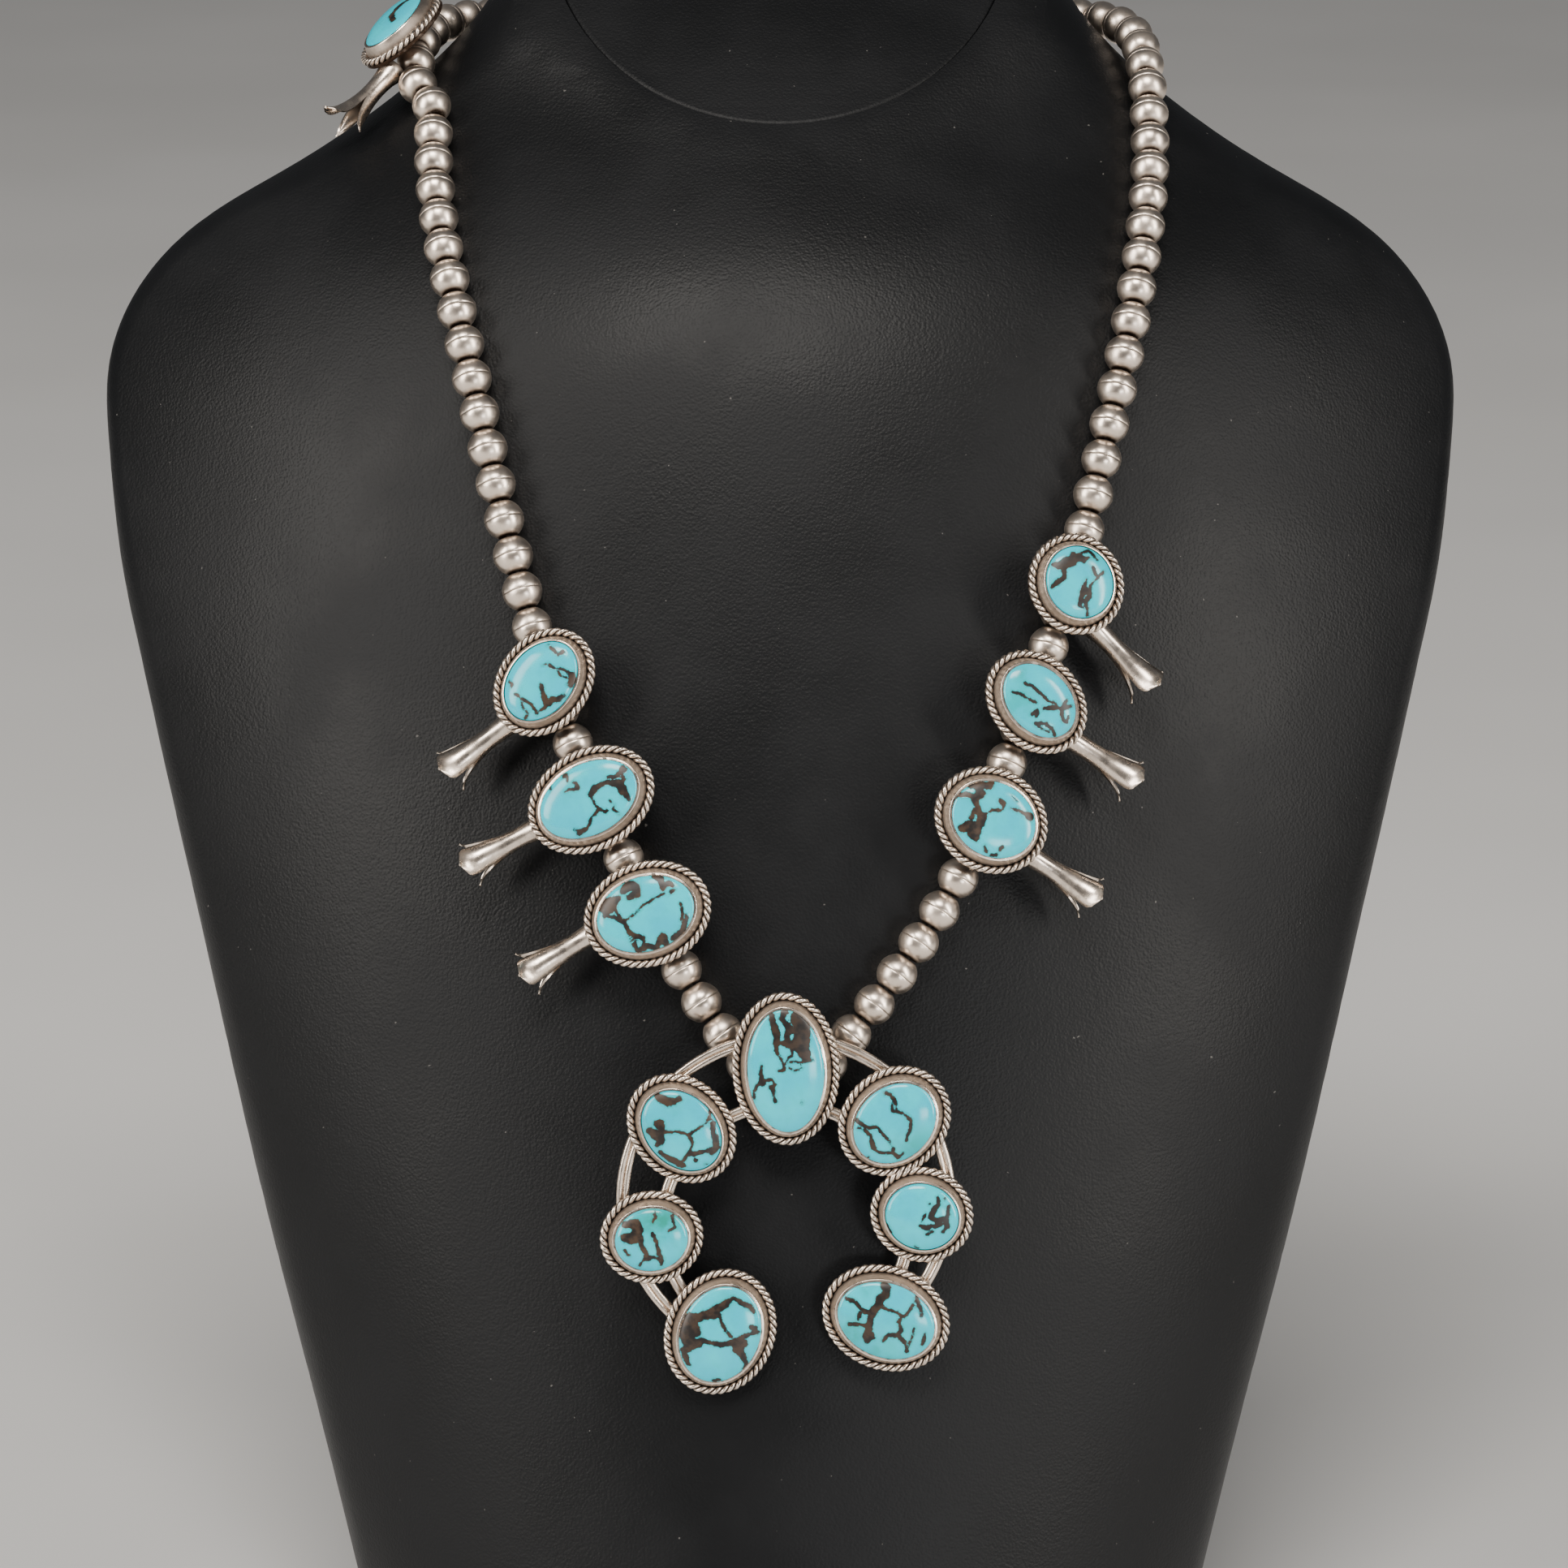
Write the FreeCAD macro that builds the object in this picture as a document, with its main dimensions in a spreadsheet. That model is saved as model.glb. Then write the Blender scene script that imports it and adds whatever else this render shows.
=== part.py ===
import FreeCAD, Part
import math
import os
from collections import namedtuple

# Squash blossom necklace of silver and turquoise on a plain neck bust.
# Millimetres, +Z up, the front towards -Y, the origin on the floor under the middle of the whole.

Vector = FreeCAD.Vector
Rotation = FreeCAD.Rotation
Placement = FreeCAD.Placement
X_AXIS = Vector(1, 0, 0)
Y_AXIS = Vector(0, 1, 0)
Z_AXIS = Vector(0, 0, 1)

doc = FreeCAD.newDocument("squash_blossom_necklace")
sizes = doc.addObject("Spreadsheet::Sheet", "sizes")

# Driving sizes. Lengths are in millimetres and angles in degrees.
DRIVING = {
    # The bust: where its chest plane lies, how the chest leans back, and the sloping neck
    "chest_line_y": -59.8,
    "chest_line_z": 190.0,
    "chest_lean": 18.0,
    "neck_front_y": 78.0,
    "neck_front_z": 298.0,
    "neck_slope": 34.0,
    "neck_axis_y": 124.2,
    "cap_radius": 45.5,
    "cap_thickness": 3.5,
    "cap_gap": 0.3,
    "cap_rounding": 1.2,
    "cap_round_start": 270.0,
    "cap_round_height": 120.0,
    # The blocks that cut the neck's slope are wider and higher than the bust's top
    "block_side": 400.0,
    "block_height": 200.0,
    # The beads and their thread
    "bead_radius": 3.8,
    "bead_length": 6.7,
    "bead_pitch": 7.1,
    "bead_bore": 0.8,
    "bead_rest": 0.65,
    "thread_radius": 0.35,
    "shank_slot": 2.2,
    "naja_slot": 12.0,
    # The settings that hold the stones
    "plate_thickness": 0.8,
    "plate_reach": 2.5,
    "bezel_height": 3.0,
    "bezel_foot": 1.3,
    "bezel_lip": 0.35,
    "bezel_wall": 0.35,
    "rim_wire": 0.78,
    "rim_reach": 2.07,
    "rim_lift": 0.62,
    "stone_gap": 0.1,
    "dome_height": 3.2,
    "dome_spread": 1.22,
    "dome_sink": 1.82,
    "cut_overlap": 0.01,
    # The blossoms' trumpets and shanks
    "trumpet_foot": 2.7,
    "trumpet_waist": 1.9,
    "trumpet_mouth": 4.7,
    "trumpet_waist_at": 6.5,
    "trumpet_length": 17.0,
    "trumpet_hollow_at": 8.5,
    "trumpet_hollow_foot": 0.6,
    "trumpet_wall": 0.45,
    "petal_notch": 3.6,
    "petal_roll": 15.0,
    "trumpet_drop": 2.3,
    "trumpet_tuck": 2.6,
    "shank_ring": 1.6,
    "shank_wire": 0.6,
    "post_overlap": 0.3,
    "plate_height": 4.35,
    # The naja
    "outer_arc": 30.3,
    "inner_arc": 22.9,
    "inner_arc_drop": 5.1,
    "arc_wire": 0.64,
    "arc_spacing": 1.2,
    "naja_plate_seat": 0.4,
    "bail_width": 5.0,
    "bail_hole": 1.7,
    "bail_wall": 0.8,
    "bail_drop": 3.35,
    "bail_rise": 1.0,
    # The clasp
    "clasp_length": 12.0,
    "clasp_radius": 2.6,
    "clasp_bore_depth": 3.0,
    "thread_in_clasp": 1.8,
}

# The stones: half their long and short axes at the bezel's lip, and how the long axis turns from level
Stone = namedtuple("Stone", "long short turn")
BLOSSOM_STONES = {
    "left_1": Stone(8.2, 6.1, 50),
    "left_2": Stone(9.8, 6.7, 27),
    "left_3": Stone(9.4, 7.0, 18),
    "left_4": Stone(8.0, 6.2, 60),
    "right_1": Stone(6.9, 6.5, 115),
    "right_2": Stone(7.9, 6.0, 136),
    "right_3": Stone(8.3, 7.0, 153),
}
NAJA_STONES = {
    "top": Stone(11.6, 7.2, 93),
    "left_upper": Stone(8.4, 6.5, 133),
    "right_upper": Stone(8.4, 6.9, 43),
    "left_middle": Stone(6.9, 6.0, 10),
    "right_middle": Stone(6.9, 6.2, 161),
    "left_lower": Stone(9.4, 7.5, 68),
    "right_lower": Stone(9.4, 7.1, 159),
}

cells = dict(DRIVING)
for key, stone in list(BLOSSOM_STONES.items()) + [("naja_" + k, s) for k, s in NAJA_STONES.items()]:
    cells["stone_" + key + "_long"] = stone.long
    cells["stone_" + key + "_short"] = stone.short
for row, (alias, value) in enumerate(cells.items(), start=1):
    sizes.set("A%d" % row, alias)
    sizes.set("B%d" % row, str(value))
    sizes.setAlias("B%d" % row, alias)
doc.recompute()


def size(alias):
    """The number in the cell with this alias."""
    return float(sizes.get(alias))


def add(kind, name, **expressions):
    """A new object of the document, its properties bound to the sheet."""
    item = doc.addObject(kind, name)
    for prop, text in expressions.items():
        item.setExpression(prop, text)
    return item


def feature(name, shape):
    """A plain feature that holds a shape made with Part's own functions."""
    item = doc.addObject("Part::Feature", name)
    item.Shape = shape
    return item


def fuse(name, pieces):
    """The union of several objects."""
    item = doc.addObject("Part::MultiFuse", name)
    item.Shapes = pieces
    return item


def cut(name, base, tool):
    """One object less another."""
    item = doc.addObject("Part::Cut", name)
    item.Base = base
    item.Tool = tool
    return item


def common(name, base, tool):
    """What two objects share."""
    item = doc.addObject("Part::Common", name)
    item.Base = base
    item.Tool = tool
    return item


def lofted(name, sections, ruled=True):
    """A solid loft through closed sections."""
    item = doc.addObject("Part::Loft", name)
    item.Sections = sections
    item.Solid = True
    item.Ruled = ruled
    return item


# The bust

# Sections from the foot up: half the width, where the front, the widest line and the back lie from
# the chest line, and the radius of the rounded sides
BustSection = namedtuple("BustSection", "height half_width front side back corner")
BUST_SECTIONS = [
    BustSection(0, 76, -54, 2, 74, 26),
    BustSection(50, 88, -40, 13, 80, 24),
    BustSection(100, 101, -25, 26, 88, 20),
    BustSection(150, 113, -8, 42, 97, 16),
    BustSection(190, 123, 6.5, 58, 107, 13),
    BustSection(220, 130, 19.5, 73, 118, 11),
    BustSection(245, 132.5, 31.5, 87, 129, 9),
    BustSection(262, 127, 41, 94, 136, 9),
    BustSection(274, 115.5, 50, 97, 140, 10),
    BustSection(285, 97, 61.5, 99, 144, 13),
    BustSection(294, 82, 73, 104, 148, 15),
    BustSection(302, 71, 81, 110, 154, 17),
    BustSection(312, 60.5, 89, 116, 160, 19),
    BustSection(324, 53, 92, 121, 168.5, 20),
    BustSection(338, 50, 92, 124, 173, 20),
    BustSection(372, 49.3, 92, 124, 173.2, 20),
]


# The loft runs through this many even steps of height
BUST_STEPS = 31


def bust_row(height):
    """The bust's section at any height, blended smoothly between the rows around it."""
    rows = BUST_SECTIONS
    place = max(n for n in range(len(rows) - 1) if rows[n].height <= height)
    low, high = rows[place], rows[place + 1]
    before, after = rows[max(place - 1, 0)], rows[min(place + 2, len(rows) - 1)]
    run = high.height - low.height
    t = (height - low.height) / run
    blended = []
    for a, b, c, d in zip(before[1:], low[1:], high[1:], after[1:]):
        slope = (c - b) / run
        start = gentle(slope, (b - a) / max(low.height - before.height, 1), place > 0) * run
        end = gentle(slope, (d - c) / max(after.height - high.height, 1), place + 2 < len(rows)) * run
        blended.append(b + t * start + t * t * (3 * (c - b) - 2 * start - end)
                       + t * t * t * (2 * (b - c) + start + end))
    return blended


def gentle(slope, other, inner):
    """The slope at a row, which never carries the curve past the rows."""
    if not inner:
        return slope
    if slope * other <= 0:
        return 0.0
    return 2 * slope * other / (slope + other)


def oval_section(half_width, front, side, back, corner):
    """An oval of four tangent arcs: front, right side, back and left side."""
    corner_x = half_width - corner

    def shallow_arc(edge_y):
        # The middle of the shallow arc and the direction in which it meets the rounded side
        depth = abs(side - edge_y)
        radius = (corner_x ** 2 + depth ** 2 - corner ** 2) / (2 * (depth - corner))
        centre_y = edge_y + math.copysign(radius, side - edge_y)
        return Vector(0, edge_y, 0), Vector(corner_x, side - centre_y, 0).normalize()

    def mirrored(point):
        return Vector(-point.x, point.y, 0)

    front_middle, front_way = shallow_arc(front)
    back_middle, back_way = shallow_arc(back)
    corner_centre = Vector(corner_x, side, 0)
    front_joint = corner_centre + front_way * corner
    back_joint = corner_centre + back_way * corner
    side_middle = corner_centre + (front_way + back_way).normalize() * corner
    arcs = [
        (mirrored(front_joint), front_middle, front_joint),
        (front_joint, side_middle, back_joint),
        (back_joint, back_middle, mirrored(back_joint)),
        (mirrored(back_joint), mirrored(side_middle), mirrored(front_joint)),
    ]
    return Part.Wire([Part.Arc(*points).toShape() for points in arcs])


def neck_block(name, lift):
    """A block with its foot along the neck's slope, this far above the slope's own plane."""
    block = add("Part::Box", name, Length="sizes.block_side", Width="sizes.block_side",
                Height="sizes.block_height")
    turn = Rotation(X_AXIS, size("neck_slope"))
    pivot = Vector(0, size("chest_line_y") + size("neck_front_y"), size("neck_front_z"))
    half = size("block_side") / 2
    block.Placement = Placement(pivot + turn.multVec(Vector(-half, -half, lift)), turn)
    return block


def make_bust():
    """The bust and the disc let into the top of its neck."""
    wires = []
    for number in range(BUST_STEPS):
        height = BUST_SECTIONS[-1].height * number / (BUST_STEPS - 1)
        wire = feature("bust_section_%d" % number, oval_section(*bust_row(height)))
        wire.Placement = Placement(Vector(0, 0, height), Rotation())
        wire.setExpression("Placement.Base.y", "sizes.chest_line_y")
        wires.append(wire)
    form = lofted("bust_form", wires, ruled=False)

    recess_round = add("Part::Cylinder", "cap_recess_round",
                       Radius="sizes.cap_radius + sizes.cap_gap", Height="sizes.cap_round_height")
    cap_round = add("Part::Cylinder", "cap_round", Radius="sizes.cap_radius", Height="sizes.cap_round_height")
    for item in (recess_round, cap_round):
        item.setExpression("Placement.Base.y", "sizes.chest_line_y + sizes.neck_axis_y")
        item.setExpression("Placement.Base.z", "sizes.cap_round_start")
    recess = common("cap_recess", recess_round, neck_block("above_cap_seat", -size("cap_thickness")))
    topless = cut("bust_without_top", form, neck_block("above_neck", 0.0))
    hollowed = cut("bust_with_cap_seat", topless, recess)

    # The disc keeps the seam's gap below it as well as round it
    foot = neck_block("above_cap_foot", size("cap_gap") - size("cap_thickness"))
    disc = cut("cap_disc", common("cap_slice", cap_round, foot), neck_block("above_cap", 0.0))
    doc.recompute()
    # The seat's edge leaves two loose chips of the neck's wall, which aren't part of the bust
    bust = feature("bust", max(hollowed.Shape.Solids, key=lambda solid: solid.Volume))
    cap = doc.addObject("Part::Fillet", "neck_cap")
    cap.Base = disc
    top = max(disc.Shape.Faces, key=lambda face: face.CenterOfMass.z)
    rounding = size("cap_rounding")
    cap.Edges = [(n, rounding, rounding) for n, edge in enumerate(disc.Shape.Edges, start=1)
                 if any(edge.isSame(other) for other in top.Edges)]
    doc.recompute()
    return bust, cap


# The chest's own frame: across to the right, up along the leaning chest, and out towards the front

def chest_up():
    lean = math.radians(size("chest_lean"))
    return Vector(0, math.sin(lean), math.cos(lean))


def chest_out():
    lean = math.radians(size("chest_lean"))
    return Vector(0, -math.cos(lean), math.sin(lean))


def on_chest(across, up, out=0.0):
    """A point given across, up and out of the chest plane."""
    start = Vector(across, size("chest_line_y"), size("chest_line_z"))
    return start + chest_up() * up + chest_out() * out


SETTLE_STEPS = 60
SETTLE_TOLERANCE = 0.01


def settle(solid, start, direction, clearance):
    """Move a point along a direction until it is this far from a solid."""
    point = Vector(start)
    for _ in range(SETTLE_STEPS):
        spare = solid.distToShape(Part.Vertex(point))[0] - clearance
        if abs(spare) < SETTLE_TOLERANCE:
            break
        point = point + direction * spare
    return point


def outward(solid, point):
    """The direction from the nearest point of a solid to this point."""
    near = solid.distToShape(Part.Vertex(point))[1][0][0]
    return (point - near).normalize()


# The strand's route

# Down the chest from the neck to the naja, across and up in the chest plane
LEFT_FRONT = [(-2.2, -57.2), (-15.5, -40.0), (-28.4, -15.6), (-37.9, 5.1), (-45.9, 26.8), (-52.0, 50.0),
              (-57.2, 72.0), (-60.9, 88.0), (-63.8, 100.0), (-65.9, 111.0), (-67.0, 121.5), (-67.2, 132.0)]
RIGHT_FRONT = [(4.6, -57.2), (20.0, -38.2), (33.8, -17.6), (42.3, 3.5), (50.2, 25.0), (57.0, 46.3),
               (61.9, 66.5), (66.0, 84.5), (68.6, 98.0), (70.4, 109.5), (71.5, 120.0), (71.7, 130.0)]
# Round the back of the neck: the turn from the front, and the lift above the neck's root
NECK_ROUTE = [(70, 13.6), (76, 16.5), (82, 18.2), (88, 19.5), (94, 20.4), (100, 21.0), (112, 22.0), (124, 22.5), (135, 23.0),
              (146, 23.0), (157, 23.0), (168, 23.0)]
NECK_ROOT = (121.0, 285.0)
# How much further the thread keeps from the round of the neck than from the chest
NECK_SPARE = 0.35
# How far out the search for the surface begins on the chest and at the neck
CHEST_START = 20
NECK_START = 110


def strand_points(bust):
    """The route of the thread from the clasp's left end, down to the naja and back up to the right."""
    clearance = size("bead_radius") + size("bead_rest")
    root = Vector(0, size("chest_line_y") + NECK_ROOT[0], NECK_ROOT[1])

    def chest_point(across, up):
        return settle(bust, on_chest(across, up, CHEST_START), chest_out() * -1, clearance)

    def neck_point(turn, lift, side):
        around = math.radians(turn)
        rise = math.radians(lift)
        ray = Vector(side * math.sin(around) * math.cos(rise), -math.cos(around) * math.cos(rise),
                     math.sin(rise))
        return settle(bust, root + ray * NECK_START, ray * -1, clearance + NECK_SPARE)

    left = [chest_point(*place) for place in LEFT_FRONT] + [neck_point(t, l, -1) for t, l in NECK_ROUTE]
    right = [chest_point(*place) for place in RIGHT_FRONT] + [neck_point(t, l, 1) for t, l in NECK_ROUTE]
    behind = (left[-1] + right[-1]) * 0.5
    end = X_AXIS * (size("clasp_length") / 2 - size("thread_in_clasp"))
    left.append(behind - end)
    right.append(behind + end)
    return left[::-1] + right


# The share of the shorter run that each bend takes
BEND_SHARE = 0.45


def rounded_route(points):
    """Straight runs joined by tangent arcs, each nearly as large as its two runs allow."""
    edges = []
    here = points[0]
    radii = []
    for before, corner, after in zip(points, points[1:], points[2:]):
        back = before - corner
        ahead = after - corner
        half_turn = (math.pi - back.getAngle(ahead)) / 2
        reach = BEND_SHARE * min(back.Length, ahead.Length)
        radii.append(reach / math.tan(half_turn))
        start = corner + back.normalize() * reach
        end = corner + ahead.normalize() * reach
        to_centre = (back + ahead).normalize()
        middle = corner + to_centre * (radii[-1] / math.cos(half_turn) - radii[-1])
        edges.append(Part.LineSegment(here, start).toShape())
        edges.append(Part.Arc(start, middle, end).toShape())
        here = end
    edges.append(Part.LineSegment(here, points[-1]).toShape())
    return Part.Wire(edges), radii


class Route:
    """The rounded route, read by its length from the middle of the naja's bail."""

    def __init__(self, wire, middle):
        self.edges = wire.OrderedEdges
        self.length = wire.Length
        along, best = 0.0, None
        for edge in self.edges:
            gap, pairs, _ = edge.distToShape(Part.Vertex(middle))
            if best is None or gap < best[0]:
                start = edge.FirstParameter
                best = (gap, along + edge.Curve.length(start, edge.Curve.parameter(pairs[0][0])))
            along += edge.Length
        self.zero = best[1]

    def at(self, distance):
        """The point and the direction at a distance from the bail, left below zero."""
        along = self.zero + distance
        for edge in self.edges:
            if along <= edge.Length or edge is self.edges[-1]:
                place = edge.getParameterByLength(min(max(along, 0.0), edge.Length))
                return edge.valueAt(place), edge.tangentAt(place)
            along -= edge.Length


# The turn from bead to bead that needs no more room, and the room for each further radian, as a
# share of the bead's radius
EASY_TURN = math.radians(6)
TURN_SHARE = 0.65
# How the beads and the blossoms follow each other from the bail up to the clasp
STRINGING = {
    "left": [5, "left_3", 3, "left_2", 3, "left_1", 20, "left_4"],
    "right": [8, "right_3", 3, "right_2", 3, "right_1"],
}


def bead_step(route, place, sign):
    """How far the next bead sits from this one: the pitch, and more where the strand turns sharply."""
    _, here = route.at(sign * place)
    _, ahead = route.at(sign * (place + size("bead_pitch")))
    sharp = max(here.getAngle(ahead) - EASY_TURN, 0.0)
    return size("bead_pitch") + size("bead_radius") * TURN_SHARE * sharp


def string_side(route, side):
    """Where each bead and each blossom's shank sits on one side of the route."""
    sign = -1 if side == "left" else 1
    reach = size("naja_slot") / 2
    room = (route.zero if side == "left" else route.length - route.zero) - size("thread_in_clasp")
    beads, shanks = [], {}

    def add_bead(start):
        """Place a bead from here, and give back where the next one starts."""
        middle = start + size("bead_pitch") / 2
        beads.append(sign * middle)
        return start + bead_step(route, middle, sign)

    for item in STRINGING[side]:
        if isinstance(item, str):
            shanks[item] = sign * (reach + size("shank_slot") / 2)
            reach += size("shank_slot")
        else:
            for _ in range(item):
                reach = add_bead(reach)
    while reach + size("bead_pitch") <= room:
        reach = add_bead(reach)
    return beads, shanks


def facing(point, forward, normal):
    """A placement whose local z is the normal and whose local x lies nearest to a direction."""
    across = (forward - normal * forward.dot(normal)).normalize()
    up = normal.cross(across)
    return Placement(point, Rotation(across, up, normal, "ZXY"))


def make_bead_form():
    """One bead: a ball with flat ends, drilled for the thread. Its hole runs along z."""
    ball = add("Part::Sphere", "bead_ball", Radius="sizes.bead_radius",
               Angle1="-asin(sizes.bead_length / 2 / sizes.bead_radius)",
               Angle2="asin(sizes.bead_length / 2 / sizes.bead_radius)")
    bore = add("Part::Cylinder", "bead_hole", Radius="sizes.bead_bore", Height="sizes.bead_length * 2")
    bore.setExpression("Placement.Base.z", "-sizes.bead_length")
    return cut("bead_form", ball, bore)


def make_strings(route, bead_form):
    """The two strings of beads, each a set of loose drilled beads."""
    places = {}
    for side in STRINGING:
        beads, shanks = string_side(route, side)
        copies = []
        for distance in beads:
            point, tangent = route.at(distance)
            bead = bead_form.Shape.copy()
            bead.Placement = Placement(point, Rotation(Z_AXIS, tangent))
            copies.append(bead)
        feature("bead_string_" + side, Part.makeCompound(copies))
        places.update(shanks)
    return places


# The settings

def oval(name, key, extra, height="0"):
    """An ellipse that runs a set distance outside a stone's edge at the bezel's lip."""
    item = add("Part::Ellipse", name,
               MajorRadius="sizes.stone_%s_long + %s" % (key, extra),
               MinorRadius="sizes.stone_%s_short + %s" % (key, extra))
    item.setExpression("Placement.Base.z", height)
    return item


def make_setting(key):
    """The plate, bezel and rim of one stone, with the plate's back at z = 0."""
    top = "sizes.plate_thickness + sizes.bezel_height"
    plate = add("Part::Extrusion", key + "_plate", LengthFwd="sizes.plate_thickness")
    plate.Base = oval(key + "_plate_edge", key, "sizes.plate_reach")
    plate.Dir = Z_AXIS
    plate.Solid = True
    outer = lofted(key + "_bezel_outside", [
        oval(key + "_bezel_foot", key, "sizes.bezel_foot", "sizes.plate_thickness / 2"),
        oval(key + "_bezel_top", key, "sizes.bezel_lip", top)])
    inner = lofted(key + "_bezel_inside", [
        oval(key + "_bowl_foot", key, "sizes.bezel_foot - sizes.bezel_wall", "sizes.plate_thickness"),
        oval(key + "_bowl_top", key, "sizes.bezel_lip - sizes.bezel_wall", top + " + sizes.cut_overlap")])
    bezel = cut(key + "_bezel", outer, inner)
    spine = oval(key + "_rim_line", key, "sizes.rim_reach", "sizes.plate_thickness + sizes.rim_lift")
    ring = add("Part::Circle", key + "_rim_round", Radius="sizes.rim_wire")
    ring.Placement = Placement(Vector(0, 0, 0), Rotation(X_AXIS, 90))
    ring.setExpression("Placement.Base.x", "sizes.stone_%s_long + sizes.rim_reach" % key)
    ring.setExpression("Placement.Base.z", "sizes.plate_thickness + sizes.rim_lift")
    rim = doc.addObject("Part::Sweep", key + "_rim")
    rim.Sections = [ring]
    rim.Spine = (spine, ["Edge1"])
    rim.Solid = True
    return [plate, bezel, rim]


def make_stone(name, key):
    """A low cabochon that fills the bezel with a small gap and domes above its lip."""
    lip = "sizes.plate_thickness + sizes.bezel_height"
    body = lofted(name + "_body", [
        oval(name + "_foot", key, "sizes.bezel_foot - sizes.bezel_wall - sizes.stone_gap * 2",
             "sizes.plate_thickness + sizes.stone_gap"),
        oval(name + "_girdle", key, "sizes.bezel_lip - sizes.bezel_wall - sizes.stone_gap", lip),
        oval(name + "_top", key, "sizes.bezel_lip - sizes.bezel_wall - sizes.stone_gap",
             lip + " + sizes.dome_height")])
    dome = add("Part::Ellipsoid", name + "_dome", Radius1="sizes.dome_height",
               Radius2="sizes.stone_%s_long * sizes.dome_spread" % key,
               Radius3="sizes.stone_%s_short * sizes.dome_spread" % key)
    dome.Angle1 = -90
    dome.setExpression("Placement.Base.z", lip + " - sizes.dome_sink")
    base = add("Part::Extrusion", name + "_base", LengthFwd="sizes.bezel_height - sizes.stone_gap")
    base.Base = oval(name + "_base_edge", key, "sizes.bezel_foot")
    base.Dir = Z_AXIS
    base.Solid = True
    base.setExpression("Placement.Base.z", "sizes.plate_thickness")
    return common(name, body, fuse(name + "_form", [dome, base]))


# The blossoms

def make_trumpet(name):
    """A hollow trumpet cut into three pointed petals, its axis along x from the foot at the origin."""
    along = Rotation(Y_AXIS, 90)
    stem = add("Part::Cone", name + "_stem", Radius1="sizes.trumpet_foot", Radius2="sizes.trumpet_waist",
               Height="sizes.trumpet_waist_at")
    bell = add("Part::Cone", name + "_bell", Radius1="sizes.trumpet_waist", Radius2="sizes.trumpet_mouth",
               Height="sizes.trumpet_length - sizes.trumpet_waist_at")
    hollow = add("Part::Cone", name + "_hollow", Radius1="sizes.trumpet_hollow_foot",
                 Radius2="sizes.trumpet_mouth - sizes.trumpet_wall",
                 Height="sizes.trumpet_length - sizes.trumpet_hollow_at + sizes.cut_overlap")
    starts = {stem: "0", bell: "sizes.trumpet_waist_at", hollow: "sizes.trumpet_hollow_at"}
    for item, start in starts.items():
        item.Placement = Placement(Vector(0, 0, 0), along)
        item.setExpression("Placement.Base.x", start)
    notches = []
    for number in range(3):
        notch = add("Part::Wedge", "%s_notch_%d" % (name, number),
                    Ymin="sizes.trumpet_hollow_at", Ymax="sizes.trumpet_length + 0.5",
                    Xmin="-0.05 mm", Xmax="0.05 mm", X2min="-sizes.petal_notch", X2max="sizes.petal_notch",
                    Zmin="sizes.trumpet_mouth * 0.2", Zmax="sizes.trumpet_mouth * 1.5",
                    Z2min="sizes.trumpet_mouth * 0.2", Z2max="sizes.trumpet_mouth * 1.5")
        upright = Rotation(Z_AXIS, -90)
        roll = Rotation(X_AXIS, 60 + 120 * number + size("petal_roll"))
        notch.Placement = Placement(Vector(0, 0, 0), roll.multiply(upright))
        notches.append(notch)
    flower = cut(name + "_flower", fuse(name + "_horn", [stem, bell]), hollow)
    return cut(name, flower, fuse(name + "_notches", notches))


# Each blossom: where its trumpet leaves the setting, from the setting's middle, and the way it points
Blossom = namedtuple("Blossom", "trumpet_x trumpet_y trumpet_turn")
BLOSSOMS = {
    "left_1": Blossom(-7.9, -7.4, 216),
    "left_2": Blossom(-11.6, -5.4, 207),
    "left_3": Blossom(-11.3, -3.9, 211),
    "left_4": Blossom(-6.0, -9.0, 226),
    "right_1": Blossom(5.5, -8.3, -45),
    "right_2": Blossom(7.9, -6.6, -32),
    "right_3": Blossom(8.6, -6.6, -33),
}


def make_blossom(key, route, distance, bust):
    """One blossom and its stone, hung on the thread and facing out of the chest."""
    row = BLOSSOMS[key]
    name = "blossom_" + key
    point, tangent = route.at(distance)
    normal = outward(bust, point)
    home = facing(point + normal * size("plate_height"), X_AXIS, normal)
    turned = Placement(Vector(0, 0, 0), Rotation(Z_AXIS, BLOSSOM_STONES[key].turn))

    setting = fuse(name + "_setting", make_setting(key))
    setting.Placement = turned

    trumpet = make_trumpet(name + "_trumpet")
    way = Rotation(Z_AXIS, row.trumpet_turn)
    foot = Vector(row.trumpet_x, row.trumpet_y, -size("trumpet_drop"))
    trumpet.Placement = Placement(foot - way.multVec(X_AXIS) * size("trumpet_tuck"), way)

    # The shank ring stands across the thread, with a short post up into the plate
    local_tangent = home.Rotation.inverted().multVec(tangent)
    ring = add("Part::Torus", name + "_ring", Radius1="sizes.shank_ring", Radius2="sizes.shank_wire")
    ring.Placement = Placement(Vector(0, 0, -size("plate_height")), Rotation(Z_AXIS, local_tangent))
    post = add("Part::Cylinder", name + "_post", Radius="sizes.shank_wire",
               Height="sizes.plate_height - sizes.shank_ring + sizes.post_overlap")
    post.setExpression("Placement.Base.z", "sizes.shank_ring - sizes.plate_height")

    blossom = fuse(name, [setting, trumpet, ring, post])
    blossom.Placement = home
    stone = make_stone("blossom_stone_" + key, key)
    stone.Placement = home.multiply(turned)
    return blossom, stone


# The naja

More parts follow.
